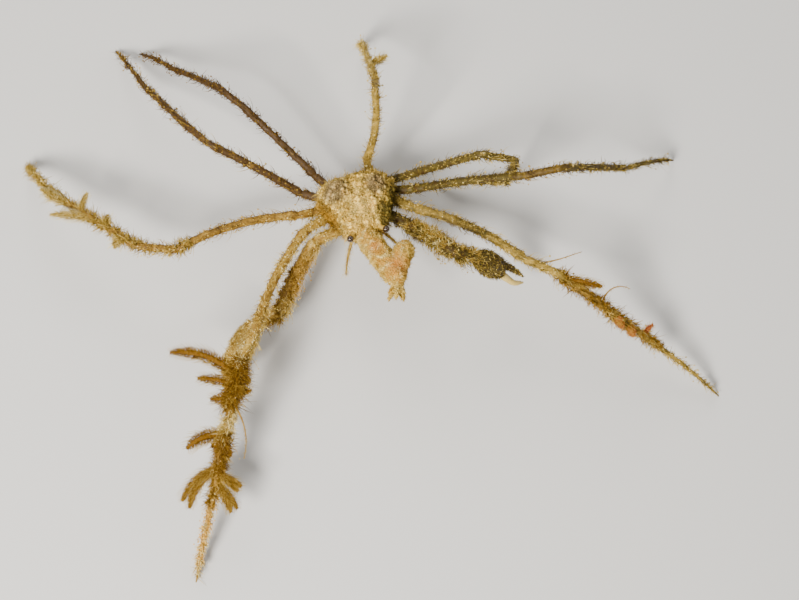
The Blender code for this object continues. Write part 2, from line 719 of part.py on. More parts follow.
# Locks in staggered rows on both sides and the top, all leaning towards the limb's tip.
def limb_locks(limb, number, way, side, centres, widths):
    counts = LOCK_COUNTS.get(limb.name, LOCK_COUNTS_ELSE)
    count = counts[number]
    along = heading(*way)
    up = along.cross(side)
    draw = random.Random(f"{limb.name} {number}")
    length = (centres[-1] - centres[0]).length
    low = 1.2 / length
    high = 1.0 - (LOCK_REACH * 1.1 + 0.9) / length
    if number == 4:
        high = 0.55
    locks = []
    for index in range(count):
        share = low + (high - low) * (index + draw.uniform(0.2, 0.8)) / count
        turn = math.radians(LOCK_TURNS[index % len(LOCK_TURNS)] + draw.uniform(-9.0, 9.0))
        out = side * math.cos(turn) + up * math.sin(turn)
        place, radius = along_at(centres, widths, share * length)
        reach = radius * 0.75 + LOCK_REACH * draw.uniform(0.75, 1.15)
        locks.append(lock(place + out * (radius * 0.25), (out + along * 0.35).normalized(), along, reach,
                          LOCK_WIDTH, (out * 0.3 + along).normalized()))
    return locks


# The middle line's point and the radius at a distance from its start.
def along_at(centres, widths, distance):
    for index in range(len(centres) - 1):
        step = (centres[index + 1] - centres[index]).length
        if distance <= step:
            share = distance / step
            return (centres[index].lerp(centres[index + 1], share),
                    widths[index] + (widths[index + 1] - widths[index]) * share)
        distance -= step
    return centres[-1], widths[-1]


def placement_at(point, way):
    yaw, rise = way
    turn = Euler((0.0, math.radians(-rise), math.radians(yaw)))
    return Matrix.Translation(point) @ turn.to_matrix().to_4x4()


def add_leg(limb):
    points, ways = limb_joints(limb)
    radii = RADII[limb.pair]
    for number, word in enumerate(LEG_SEGMENTS):
        near = radii[number] if number < 1 else (radii[number] + radii[number - 1]) / 2
        far = radii[number] if number == 4 else (radii[number] + radii[number + 1]) / 2
        shares = SHORT_SHARES if number in (0, 2) else LONG_SHARES
        centres, shares, first, last = segment_core(limb, points, ways, number, shares, near, far)
        widths = segment_radii(shares, near, far)
        if number == 4:
            centres[-1] = points[5]
            last = Vector((0.0, 0.0, -1.0))
            widths = [near + (TIP_RADIUS - near) * share ** 0.8 for share in shares]
        shape = sweep(centres, widths, level_side(limb.yaws[number]), LIMB_SIDES, first, last)
        fronds = [frond_shape(frond, points, ways) for frond in FRONDS
                  if frond.limb == limb.name and frond.segment == number]
        fronds += limb_locks(limb, number, ways[number], level_side(limb.yaws[number]), centres, widths)
        add_node(f"{limb.name}_{word}", shape, "limb", placement_at(points[number], ways[number]), fronds)


def add_claw(limb):
    points, ways = limb_joints(limb)
    radii = RADII[limb.pair]
    for number, word in enumerate(CLAW_SEGMENTS[:3]):
        near = radii[number] if number < 1 else (radii[number] + radii[number - 1]) / 2
        far = (radii[number] + radii[min(number + 1, 2)]) / 2
        shares = LONG_SHARES if number == 1 else SHORT_SHARES
        centres, shares, first, last = segment_core(limb, points, ways, number, shares, near, far)
        widths = segment_radii(shares, near, far)
        side = level_side(limb.yaws[number])
        shape = sweep(centres, widths, side, LIMB_SIDES, first, last)
        locks = limb_locks(limb, number, ways[number], side, centres, widths)
        add_node(f"{limb.name}_{word}", shape, "limb", placement_at(points[number], ways[number]), locks)
    add_hand(limb, points, ways)


def add_hand(limb, points, ways):
    palm = RADII[limb.pair][3]
    slim = RADII[limb.pair][4]
    along = heading(*ways[3])
    side = level_side(limb.yaws[3])
    start = palm * HAND_PROFILE[0][1]
    stations = [share for share, _ in HAND_PROFILE]
    centres, shares, first, _ = segment_core(limb, points, ways, 3, stations, start, start)
    widths = [palm * profile_at(HAND_PROFILE, share) for share in shares]
    shape = sweep(centres, widths, side, HAND_SIDES, first, along, squash=HAND_SQUASH)
    inward = side * (1.0 if limb.side < 0 else -1.0)
    reach = LENGTHS[limb.pair][4]
    palm_end = centres[-1]
    onward = heading(*ways[4])
    fixed = finger_path(palm_end - along * FINGER_ROOT, along, onward, -inward, reach + FINGER_ROOT, 0.0)
    thin = [slim * share for share in FINGER_PROFILE]
    claw = sweep(fixed, thin, side, LIMB_SIDES)
    place = placement_at(points[3], ways[3])
    locks = limb_locks(limb, 3, ways[3], side, centres, widths)
    add_node(f"{limb.name}_hand", shape, "limb", place, [claw] + locks)
    moving = finger_path(palm_end + along * GAP, along, onward, inward, reach, FINGER_GAPE)
    thumb = sweep(moving, thin, side, LIMB_SIDES, first=along)
    add_node(f"{limb.name}_finger", thumb, "limb", placement_at(moving[0], ways[3]))


# A finger leaves the palm to one side, gapes by its opening and hooks in at the tip.
def finger_path(start, along, onward, out, reach, opening):
    path = [start + out * FINGER_SPREAD]
    for number in range(1, 6):
        share = number / 5
        way = along.lerp(onward, min(1.0, share * 1.6)).normalized()
        hook = opening * (1.0 if share < 0.7 else -0.6) - (0.25 if share > 0.7 else 0.0)
        path.append(path[-1] + (way + out * hook).normalized() * (reach / 5))
    return path


def remove_everything():
    for old in list(bpy.data.objects):
        bpy.data.objects.remove(old)


# Moves the whole animal so that the middle of its box stands over the origin.
def centre_on_origin():
    bpy.context.view_layer.update()
    corners = [made.matrix_world @ vertex.co for made in bpy.data.objects if made.type == "MESH"
               for vertex in made.data.vertices]
    middle_x = (min(c.x for c in corners) + max(c.x for c in corners)) / 2
    middle_y = (min(c.y for c in corners) + max(c.y for c in corners)) / 2
    crab.location = (-middle_x, -middle_y, 0.0)
    bpy.context.view_layer.update()


remove_everything()
crab = bpy.data.objects.new("crab", None)
bpy.context.scene.collection.objects.link(crab)
add_body()
add_abdomen()
add_mouthparts()
add_sponge()
add_eyes()
add_antennae()
for one in LIMBS:
    if one.pair == 1:
        add_claw(one)
    else:
        add_leg(one)
centre_on_origin()
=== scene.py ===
import math
import random
from collections import namedtuple
from types import SimpleNamespace

import bpy
import numpy as np
from mathutils import Matrix, Vector


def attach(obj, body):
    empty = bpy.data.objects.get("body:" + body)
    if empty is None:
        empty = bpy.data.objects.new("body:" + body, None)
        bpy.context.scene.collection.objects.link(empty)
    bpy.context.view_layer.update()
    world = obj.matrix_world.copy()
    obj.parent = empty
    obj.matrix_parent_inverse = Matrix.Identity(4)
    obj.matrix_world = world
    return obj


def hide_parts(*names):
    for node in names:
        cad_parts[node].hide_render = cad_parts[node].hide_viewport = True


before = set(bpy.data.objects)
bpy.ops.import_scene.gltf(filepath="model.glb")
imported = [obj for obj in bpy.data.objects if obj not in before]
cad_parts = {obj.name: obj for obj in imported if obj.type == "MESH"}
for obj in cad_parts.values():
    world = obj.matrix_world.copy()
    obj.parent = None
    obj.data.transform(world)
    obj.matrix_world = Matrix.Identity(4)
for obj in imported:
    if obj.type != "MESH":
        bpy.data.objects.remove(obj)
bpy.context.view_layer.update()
mm = 0.001
tau = math.tau
upright = np.array((0.0, 0.0, 1.0))
fineStep = 0.12  # between the rings of a fine skin


# Small helpers for rows of points

def unit(rows):
    return rows / np.maximum(np.linalg.norm(rows, axis=-1, keepdims=True), 1e-9)


def heading(yaw, rise):
    yaw, rise = math.radians(yaw), math.radians(rise)
    return np.array((math.cos(yaw) * math.cos(rise), math.sin(yaw) * math.cos(rise), math.sin(rise)))


def levelSide(yaw):
    yaw = math.radians(yaw)
    return np.array((-math.sin(yaw), math.cos(yaw), 0.0))


def stray(draw, count, amount):  # loose directions of about some length
    return draw.normal(size=(count, 3)) * amount


def allRound(draw, low, high, count):  # random places on a skin, as shares of its length and turns round it
    return draw.uniform(low, high, count), draw.uniform(0, tau, count)


def drawFor(word):
    return np.random.default_rng([ord(letter) for letter in word])


def ripple(points, size, seed):  # smooth seeded unevenness, about -1 to 1, of some size
    waves = 14
    draw = np.random.default_rng(seed)
    total = np.zeros(len(points))
    for _ in range(waves):
        way = unit(draw.normal(size=3))
        total += np.sin(points @ way * (tau / (size * draw.uniform(0.7, 1.5))) + draw.uniform(0, tau))
    return total / math.sqrt(waves / 1.2)


def hump(values, middle, width):
    return np.exp(-((values - middle) / width) ** 2)


def linked(name, data):  # a new object in the scene
    made = bpy.data.objects.new(name, data)
    bpy.context.scene.collection.objects.link(made)
    return made


# Shader maths: a wrapped socket that takes plain arithmetic

class Wire:
    def __init__(self, finish, socket):
        self.finish = finish
        self.socket = socket

    def maths(self, operation, *others, clamp=False):
        return self.finish.node("Math", {"operation": operation, "use_clamp": clamp}, self, *others)

    def __add__(self, other):
        return self.maths("ADD", other)

    def __sub__(self, other):
        return self.maths("SUBTRACT", other)

    def __mul__(self, other):
        return self.maths("MULTIPLY", other)

    def __rsub__(self, other):
        return self.finish.node("Math", {"operation": "SUBTRACT"}, other, self)

    __radd__ = __add__
    __rmul__ = __mul__

    def clipped(self):
        return self.maths("ADD", 0.0, clamp=True)

    def between(self, low, high):  # 0 below low, 1 above high
        return ((self - low) * (1.0 / (high - low))).clipped()


class Finish:
    def __init__(self, name, roughness, **fixed):
        self.material = bpy.data.materials.new(name)
        self.material.use_nodes = True
        self.tree = self.material.node_tree
        self.shader = self.tree.nodes["Principled BSDF"]
        self.shader.inputs["Roughness"].default_value = roughness
        for socket, value in fixed.items():
            self.shader.inputs[socket.replace("_", " ")].default_value = value
        self.place = self.node("TexCoord", {"out": "Object"})

    # kind is the node's type without ShaderNode; settings come first, then its sockets by order or by name.
    def node(self, kind, settings=None, *values, **named):
        made = self.tree.nodes.new("ShaderNode" + kind)
        settings = dict(settings or {})
        out = settings.pop("out", 0)
        stops = settings.pop("stops", None)
        for key, value in settings.items():
            setattr(made, key, value)
        if stops:
            while len(made.color_ramp.elements) < len(stops):
                made.color_ramp.elements.new(0.5)
            for element, (spot, colour) in zip(made.color_ramp.elements, stops):
                element.position = spot
                element.color = (*colour, 1.0)
        sockets = [socket for socket in made.inputs if socket.enabled]
        pairs = list(zip(sockets, values))
        pairs += [(next(s for s in sockets if s.name == key), value) for key, value in named.items()]
        for socket, value in pairs:
            if isinstance(value, Wire):
                self.tree.links.new(value.socket, socket)
            elif value is not None:
                socket.default_value = value
        outs = [socket for socket in made.outputs if socket.enabled]
        return Wire(self, made.outputs[out] if isinstance(out, str) else outs[out])

    def noise(self, size, detail=3.0, warp=0.0):  # size of one spot in millimetres
        return self.node("TexNoise", Vector=self.place, Scale=1.0 / (size * mm), Detail=detail,
                         Roughness=0.55, Distortion=warp)

    def cells(self, size):
        return self.node("TexVoronoi", Vector=self.place, Scale=1.0 / (size * mm))

    def kept(self, name):  # a value that the mesh carries at its points
        return self.node("Attribute", {"attribute_name": name, "out": "Fac"})

    def mix(self, factor, first, second, blend="MIX"):
        first = (*first, 1.0) if isinstance(first, tuple) else first
        second = (*second, 1.0) if isinstance(second, tuple) else second
        return self.node("Mix", {"data_type": "RGBA", "blend_type": blend}, factor, first, second)

    def ramp(self, value, *stops):  # tints by name at places along a value
        return self.node("ValToRGB", {"stops": [(spot, tints[word]) for spot, word in stops]}, value)

    def shaded(self, colour, shade):
        return self.mix(1.0, colour, self.node("CombineColor", None, shade, shade, shade), "MULTIPLY")

    # Another colour round a point: none of it past the reach, all of its strength from near enough
    def patched(self, colour, point, reach, low, high, strength, other):
        point = tuple(Vector(point) * mm)
        gap = self.node("VectorMath", {"operation": "DISTANCE", "out": "Value"}, self.place, point)
        near = 1.0 - (gap * (1.0 / (reach * mm))).clipped()
        return self.mix(near.between(low, high) * strength, colour, other)

    def paint(self, colour):
        self.tree.links.new(colour.socket, self.shader.inputs["Base Color"])

    def shine(self, value):
        self.tree.links.new(value.socket, self.shader.inputs["Roughness"])

    def bump(self, height, depth, strength=0.8):  # depth in millimetres
        made = self.node("Bump", Strength=strength, Distance=depth * mm, Height=height)
        self.tree.links.new(made.socket, self.shader.inputs["Normal"])


# Meshes from rows of corners and triangles

Bundle = namedtuple("Bundle", "corners faces map tip tint")


def joined(bundles):
    offset = 0
    faces = []
    for bundle in bundles:
        faces.append(bundle.faces + offset)
        offset += len(bundle.corners)
    corners, *rest = (np.concatenate([getattr(bundle, key) for bundle in bundles])
                      for key in ("corners", "map", "tip", "tint"))
    return Bundle(corners, np.concatenate(faces), *rest)


middleSpot = (0.5, 0.5)
spotReach = 0.0014  # half a tuft's patch on the map
mapRim = 0.03


def mapSpots(turn, share):  # an unwrap: round the shape across the map, along it up the map
    return np.stack((mapRim + (1 - 2 * mapRim) * (turn / tau % 1), mapRim + (1 - 2 * mapRim) * share), 1)


def plainBundle(corners, faces, spot=middleSpot):
    count = len(corners)
    return Bundle(corners, faces, np.tile(spot, (count, 1)), np.zeros(count), np.full(count, 0.5))


def addPiece(name, shape, finish, stands=(), tuftMap=False):
    shape = shape if isinstance(shape, Bundle) else plainBundle(*shape)
    corners = shape.corners * mm
    corners[:, 2] = np.maximum(corners[:, 2], 0.0)
    faces = np.ascontiguousarray(shape.faces, dtype=np.int32)
    mesh = bpy.data.meshes.new(name)
    mesh.vertices.add(len(corners))
    mesh.vertices.foreach_set("co", corners.ravel())
    mesh.loops.add(faces.size)
    mesh.loops.foreach_set("vertex_index", faces.ravel())
    mesh.polygons.add(len(faces))
    mesh.polygons.foreach_set("loop_start", np.arange(0, faces.size, 3, dtype=np.int32))
    mesh.update(calc_edges=True)
    for key in ("tip", "tint"):
        layer = mesh.attributes.new(key, "FLOAT", "POINT")
        layer.data.foreach_set("value", getattr(shape, key).astype(np.float32))
    if tuftMap:
        layer = mesh.uv_layers.new(name="OFBake")
        layer.data.foreach_set("uv", shape.map[faces.ravel()].astype(np.float32).ravel())
    mesh.shade_smooth()
    mesh.materials.append(finish.material)
    made = linked(name, mesh)
    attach(made, "root")
    if stands:
        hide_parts(*stands)
    counted["triangles"] += len(faces)


def addCoat(name, parts, finish):
    addPiece(name, joined(parts), finish, tuftMap=True)


counted = {"triangles": 0}


def gridFaces(rings, sides):
    ring, side = np.divmod(np.arange((rings - 1) * sides), sides)
    a = ring * sides + side
    b = ring * sides + (side + 1) % sides
    return np.concatenate([np.stack((a, b, b + sides), 1), np.stack((a, b + sides, a + sides), 1)])


def closedGrid(corners, rings, sides):  # a grid of rings with a middle point on each end
    last = (rings - 1) * sides
    side = np.arange(sides)
    ahead = (side + 1) % sides
    ends = np.stack((corners[:sides].mean(0), corners[last:].mean(0)))
    first = np.stack((np.full(sides, rings * sides), ahead, side), 1)
    final = np.stack((np.full(sides, rings * sides + 1), last + side, last + ahead), 1)
    return np.concatenate([corners, ends]), np.concatenate([gridFaces(rings, sides), first, final])


# Skins swept along a line. A place on one is a share of its length and a turn round it.

class Tube:
    def __init__(self, line, girth, side, squash=1.0):
        self.line = line
        self.girth = girth
        self.squash = squash
        self.along = unit(np.gradient(line, axis=0))
        sides = []
        for way in self.along:
            side = side - way * side.dot(way)
            side = side / np.linalg.norm(side)
            sides.append(side)
        self.side = np.array(sides)
        self.up = np.cross(self.along, self.side)
        self.length = np.linalg.norm(np.diff(line, axis=0), axis=1).sum()

    def at(self, share, turn, lift=0.0):
        place = share * (len(self.line) - 1)
        low = np.minimum(place.astype(int), len(self.line) - 2)
        part = (place - low)[:, None]
        rows = (self.line, self.side, self.up, self.along)
        centre, side, up, along = (row[low] * (1 - part) + row[low + 1] * part for row in rows)
        girth = np.interp(place, np.arange(len(self.girth)), self.girth)[:, None]
        c, s = np.cos(turn)[:, None], np.sin(turn)[:, None]
        centre = centre + (side * c + up * s * self.squash) * (girth + lift)
        return centre, unit(side * c * self.squash + up * s), unit(along)

    def skin(self, sides, relief=None):
        rings = len(self.line)
        share = np.repeat(np.linspace(0.0, 1.0, rings), sides)
        turn = np.tile(np.arange(sides) * tau / sides, rings)
        corners, out, _ = self.at(share, turn)
        if relief is not None:
            corners = corners + out * relief(corners, share, turn)[:, None]
        return closedGrid(corners, rings, sides)


def evenly(line, girth, step):  # the same line with points at even steps
    run = np.concatenate([[0.0], np.cumsum(np.linalg.norm(np.diff(line, axis=0), axis=1))])
    spots = np.linspace(0.0, run[-1], max(3, int(round(run[-1] / step)) + 1))
    return (np.stack([np.interp(spots, run, line[:, k]) for k in range(3)], 1), np.interp(spots, run, girth))


def softened(line, spread):  # rounds the corners of a line and keeps its ends
    reach = 3 * spread
    weights = np.exp(-0.5 * (np.arange(-reach, reach + 1) / spread) ** 2)
    weights /= weights.sum()
    before = 2 * line[0] - line[reach:0:-1]
    after = 2 * line[-1] - line[-2:-reach - 2:-1]
    padded = np.concatenate([before, line, after])
    return np.stack([np.convolve(column, weights, "valid") for column in padded.T], 1)


# Many fine tapering strands. Each leaves its root along out and bends with the square and cube of its length.
def strands(root, out, bend, length, width, spot, tint, rings=3, hook=None, blunt=0.25):
    count = len(root)
    length, width, tint = (np.broadcast_to(value, count).astype(float) for value in (length, width, tint))
    hook = np.zeros((count, 3)) if hook is None else hook
    across = unit(np.cross(out, (0.31, 0.52, 0.80)))
    over = np.cross(out, across)
    size = 3 * rings + 1
    corners = np.empty((count, size, 3))
    spots = np.empty((count, size, 2))
    tip = np.empty((count, size))
    for ring in range(rings + 1):
        t = ring / rings
        centre = root + (out * t + bend * t ** 2 + hook * t ** 3) * length[:, None]
        if ring == rings:
            corners[:, -1] = centre
            spots[:, -1] = spot + (0.0, spotReach)
            tip[:, -1] = 1.0
            break
        thick = (width * (1 - (1 - blunt) * t ** 1.5) / 2)[:, None]
        for corner in range(3):
            turn = tau * corner / 3
            number = 3 * ring + corner
            corners[:, number] = centre + (across * math.cos(turn) + over * math.sin(turn)) * thick
            spots[:, number] = spot + np.array((corner - 1, t * 2 - 1)) * spotReach
            tip[:, number] = t
    pattern = [(0, 2, 1)]
    for ring in range(rings - 1):
        for corner in range(3):
            a, b = 3 * ring + corner, 3 * ring + (corner + 1) % 3
            pattern += [(a, b, b + 3), (a, b + 3, a + 3)]
    pattern += [(3 * rings - 3 + corner, 3 * rings - 3 + (corner + 1) % 3, 3 * rings) for corner in range(3)]
    faces = (np.array(pattern)[None] + (np.arange(count) * size)[:, None, None]).reshape(-1, 3)
    return Bundle(corners.reshape(-1, 3), faces, spots.reshape(-1, 2), tip.ravel(), np.repeat(tint, size))


ballCorners = np.array(((1, 0, 0), (0, 1, 0), (-1, 0, 0), (0, -1, 0), (0, 0, 1), (0, 0, -1)), float)
ballFaces = np.array([(a, (a + 1) % 4, 4) for a in range(4)] + [((a + 1) % 4, a, 5) for a in range(4)])


def grains(root, out, radius, spot, tint, draw):  # uneven grains, part sunk at their roots
    count, size = len(root), len(ballCorners)
    radius, tint = (np.broadcast_to(value, count).astype(float) for value in (radius, tint))
    stretch = draw.uniform(0.8, 1.5, (count, 1, 3))
    uneven = draw.uniform(0.75, 1.25, (count, size, 1))
    corners = ballCorners[None] * stretch * uneven * radius[:, None, None]
    corners = corners + (root + out * radius[:, None] * 0.45)[:, None]
    spots = spot[:, None] + ballCorners[None, :, :2] * spotReach
    faces = (ballFaces[None] + (np.arange(count) * size)[:, None, None]).reshape(-1, 3)
    # Tops paler and undersides darker, as painted light and shade.
    tip = np.tile(ballCorners[:, 2] * 0.2 + 0.6, (count, 1))
    return Bundle(corners.reshape(-1, 3), faces, spots.reshape(-1, 2), tip.ravel(), np.repeat(tint, size))


# One closed surface from several closed shapes, by voxels, as corners, triangles and outward directions
def fused(shapes, voxel, smooth=3):
    whole = joined([plainBundle(*shape) for shape in shapes])
    mesh = bpy.data.meshes.new("fusing")
    mesh.from_pydata((whole.corners * mm).tolist(), [], whole.faces.tolist())
    made = linked("fusing", mesh)
    modifier = made.modifiers.new("voxels", "REMESH")
    modifier.mode = "VOXEL"
    modifier.voxel_size = voxel * mm
    if smooth:
        modifier = made.modifiers.new("soften", "SMOOTH")
        modifier.iterations = smooth
        modifier.factor = 0.5
    graph = bpy.context.evaluated_depsgraph_get()
    graph.update()
    baked = made.evaluated_get(graph).to_mesh()
    baked.calc_loop_triangles()
    corners = np.empty(len(baked.vertices) * 3)
    baked.vertices.foreach_get("co", corners)
    faces = np.empty(len(baked.loop_triangles) * 3, dtype=np.int32)
    baked.loop_triangles.foreach_get("vertices", faces)
    corners, faces = corners.reshape(-1, 3) / mm, faces.reshape(-1, 3)
    bpy.data.objects.remove(made)
    return corners, faces, cornerNormals(corners, faces)


def cornerNormals(corners, faces):
    a, b, c = (corners[faces[:, k]] for k in range(3))
    flat = np.cross(b - a, c - a)
    total = np.zeros_like(corners)
    for k in range(3):
        np.add.at(total, faces[:, k], flat)
    return unit(total)


# Even random places on a surface, the directions out of it there, and a value that its corners carry
def scattered(corners, faces, normals, count, draw, carried):
    a, b, c = (corners[faces[:, k]] for k in range(3))
    area = np.linalg.norm(np.cross(b - a, c - a), axis=1) / 2
    rows = faces[draw.choice(len(faces), count, p=area / area.sum())]
    u, v = draw.random((2, count))
    flip = u + v > 1
    u[flip], v[flip] = 1 - u[flip], 1 - v[flip]
    weights = np.stack((1 - u - v, u, v), 1)
    point, out = ((values[rows] * weights[:, :, None]).sum(1) for values in (corners, normals))
    return point, unit(out), (carried[rows] * weights).sum(1)


def outward(corners, faces):  # the same triangles, turned over where their order points them inwards
    flat = np.cross(corners[faces[:, 1]] - corners[faces[:, 0]], corners[faces[:, 2]] - corners[faces[:, 0]])
    return faces if (flat * (corners[faces].mean(1) - corners.mean(0))).sum() > 0 else faces[:, ::-1]


# The body: cross sections from rear to front, each a place along Y, half width, top and bottom
body = SimpleNamespace(
    height=12.5,
    pitch=16.0,
    sections=((3.6, 1.9, 1.0, -1.1), (3.1, 3.8, 2.2, -2.2), (2.3, 5.2, 3.3, -3.0),
              (1.3, 6.1, 4.1, -3.6), (0.1, 6.5, 4.6, -3.8), (-1.4, 6.1, 4.7, -3.8),
              (-3.2, 5.4, 4.3, -3.6), (-5.0, 4.6, 3.7, -3.2), (-6.6, 3.8, 2.9, -2.6),
              (-7.8, 2.8, 2.1, -1.8)),
    sidePower=0.9,
    topPower=0.82,
    swellings=((3.5, -0.6, 0.95, 1.7, 1.8), (0.0, -3.6, 0.5, 1.7, 2.2), (0.0, 1.8, 0.25, 1.0, 1.0)),
    crust=0.3,
    cobble=0.13,
    tailLines=(2.2, 0.8, -0.6, -2.0, -3.4),
    felt=17000,
    lumps=95,
    lumpHeight=0.55,
    lumpSpread=0.85,
    seamHeight=-0.1,
    seamSlope=0.18,
    hipDepth=2.2,
    hips={1: (5.2, -4.2, -2.3), 2: (6.6, -1.6, -1.6), 3: (6.9, 0.3, -1.3),
          4: (5.6, 2.3, -0.9), 5: (3.6, 3.0, -0.6)},
)

# The limbs by pair, from the body outwards, and each limb's pose: heading and rise of every segment
limbSizes = SimpleNamespace(
    lengths={1: (3.6, 14.0, 4.9, 8.5, 5.6), 2: (3.8, 22.0, 6.8, 22.7, 16.5),
             3: (3.64, 22.3, 6.7, 21.0, 15.0), 4: (3.84, 18.5, 6.2, 18.0, 13.6),
             5: (4.2, 17.2, 5.4, 15.5, 12.2)},
    radii={1: (0.95, 1.05, 1.05, 2.3, 0.62), 2: (0.88, 0.74, 0.76, 0.64, 0.48),
           3: (0.86, 0.66, 0.72, 0.58, 0.44), 4: (0.84, 0.62, 0.68, 0.54, 0.42),
           5: (0.80, 0.60, 0.64, 0.52, 0.40)},
    upBows=(0.0, 0.012, 0.0, 0.012, 0.07),
    knuckle=0.16,
    neck=0.26,
    coatDepth=0.94,
    tipRadius=0.13,
)
Limb = namedtuple("Limb", "pair side bow yaws rises")
limbs = {
    "cheliped_right": Limb(1, -1, 0.04, (-172, -132.5, -176, -136, -110), (-4, -10, -10, -18, -38)),
    "leg2_right": Limb(2, -1, 0.042, (-160, -128.6, -128, -119, -120), (18, 14, 4, -27)),
    "leg3_right": Limb(3, -1, 0.06, (180, 183, 162, 129, 111), (10, 8, 11, -15)),
    "leg4_right": Limb(4, -1, 0.01, (150, 142, 122, 112, 108), (0, 26, -12, -37)),
    "leg5_right": Limb(5, -1, 0.0, (122, 123, 125, 125, 125), (11, 18, 3, -40)),
    "cheliped_left": Limb(1, 1, 0.02, (-46, -62, -22, -14, -28), (10, 42, -34, -58, -36)),
    "leg2_left": Limb(2, 1, 0.05, (-44, -45, -47, -44, -49), (13, 11, 22, -31)),
    "leg3_left": Limb(3, 1, 0.01, (-20, -21, -8, 7, 11), (23, 33, 12, -49)),
    "leg4_left": Limb(4, 1, 0.0, (-5, -18, -20, 90, 158), (17, 45, -18, -84)),
    "leg5_left": Limb(5, 1, -0.05, (87, 60, 75, 86, 86), (-4, 66, -46, -46)),
}
legWords = ("base", "merus", "carpus", "propodus", "dactyl")
clawWords = ("base", "arm", "wrist", "hand", "finger")
centre = np.array((0.0, 0.0, body.height))  # moved below, once the frame says where the animal stands


def turned(rows):  # directions of the body's own frame, as the row frame has them
    c, s = math.cos(math.radians(-body.pitch)), math.sin(math.radians(-body.pitch))
    x, y, z = np.atleast_2d(np.asarray(rows, float)).T
    return np.stack((x, y * c - z * s, y * s + z * c), 1)


def inWorld(rows):
    return turned(rows) + centre


def jointsOf(name):
    limb = limbs[name]
    points = [inWorld((limb.side * body.hips[limb.pair][0], *body.hips[limb.pair][1:]))[0]]
    ways = []
    for number, length in enumerate(limbSizes.lengths[limb.pair]):
        if number < len(limb.rises):
            rise = limb.rises[number]
        else:
            rise = math.degrees(math.asin(-points[-1][2] / length))
        ways.append((limb.yaws[number], rise))
        points.append(points[-1] + heading(limb.yaws[number], rise) * length)
    return points, ways


def standingTip(name):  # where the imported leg's flat tip stands
    corners = np.array([vertex.co[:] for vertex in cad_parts[name + "_dactyl"].data.vertices])
    flat = np.unique(corners[corners[:, 2] < 1e-5].round(7), axis=0)
    return flat.mean(0) / mm


centre[:2] = (standingTip("leg3_right") - jointsOf("leg3_right")[0][5])[:2]
legNames = [name for name, limb in limbs.items() if limb.pair > 1]
print("stand", centre.round(3), "largest miss at a tip",
      max(np.linalg.norm(standingTip(name) - jointsOf(name)[0][5]) for name in legNames).round(4))


# Camera at the photograph's angle: the body's middle falls on one pixel of the frame.
shot = SimpleNamespace(
    width=799, height=600, azimuth=-16.0, elevation=75.0, lens=90.0, sensor=36.0,
    bodyPixel=(356.0, 198.0), reach=349.6,
)


def addCamera():
    turn, lift = math.radians(shot.azimuth), math.radians(shot.elevation)
    back = np.array((math.sin(turn) * math.cos(lift), -math.cos(turn) * math.cos(lift), math.sin(lift)))
    right = np.array((math.cos(turn), math.sin(turn), 0.0))
    up = np.cross(back, right)
    focal = shot.lens / shot.sensor * shot.width
    x = (shot.bodyPixel[0] - shot.width / 2) / focal * shot.reach
    y = (shot.height / 2 - shot.bodyPixel[1]) / focal * shot.reach
    spot = (centre + back * shot.reach - right * x - up * y) * mm
    made = linked("camera", bpy.data.cameras.new("camera"))
    made.data.lens = shot.lens
    made.data.sensor_width = shot.sensor
    made.data.clip_start = 0.01
    made.matrix_world = Matrix.Translation(spot) @ Matrix(np.stack((right, up, back), 1)).to_4x4()
    bpy.context.scene.camera = made


# Soft studio light: heading, rise, distance, size and watts of each lamp
studio = SimpleNamespace(
    lamps=((-140, 50, 420, 130, 3.5), (-10, 38, 460, 300, 0.55), (85, 44, 460, 240, 1.0)),
    glow=(1.0, 0.965, 0.91), sky=(0.80, 0.86, 0.92), skyLight=0.2,
    floorSize=4000.0, floor=(0.68, 0.67, 0.65),
)


def addStudio():
    world = bpy.data.worlds.new("studio")
    world.use_nodes = True
    sky = world.node_tree.nodes["Background"]
    sky.inputs["Color"].default_value = (*studio.sky, 1.0)
    sky.inputs["Strength"].default_value = studio.skyLight
    bpy.context.scene.world = world
    for number, (yaw, rise, reach, size, watts) in enumerate(studio.lamps):
        lamp = bpy.data.lights.new(f"lamp{number}", "AREA")
        lamp.size = size * mm
        lamp.energy = watts
        lamp.color = studio.glow
        made = linked(f"lamp{number}", lamp)
        way = heading(yaw, rise)
        made.location = (centre + way * reach) * mm
        made.rotation_euler = Vector(way).to_track_quat("Z", "Y").to_euler()
    ground = Finish("studioFloor", 0.7)
    ground.shader.inputs["Base Color"].default_value = (*studio.floor, 1.0)
    half = studio.floorSize / 2 * mm
    mesh = bpy.data.meshes.new("studio_floor")
    corners = [(-half, -half, 0.0), (half, -half, 0.0), (half, half, 0.0), (-half, half, 0.0)]
    mesh.from_pydata(corners, [], [range(4)])
    mesh.materials.append(ground.material)
    linked("studio_floor", mesh)


# Colours as linear light: pale straw on the tops of the limbs, gold and brown between
tints = {
    "straw": (0.52, 0.345, 0.062),
    "gold": (0.27, 0.142, 0.014),
    "umber": (0.07, 0.034, 0.006),
    "olive": (0.085, 0.062, 0.008),
    "khaki": (0.27, 0.175, 0.024),
    "cream": (0.76, 0.55, 0.15),
    "bone": (0.92, 0.77, 0.34),
    "greyLobe": (0.24, 0.17, 0.085),
    "tan": (0.47, 0.24, 0.028),
    "peach": (0.72, 0.40, 0.07),
    "amber": (0.22, 0.11, 0.007),
    "orange": (0.155, 0.064, 0.003),
    "pink": (0.66, 0.20, 0.055),
    "wine": (0.16, 0.022, 0.006),
    "eyeBlack": (0.012, 0.008, 0.006),
    "eyeBrown": (0.09, 0.05, 0.025),
}
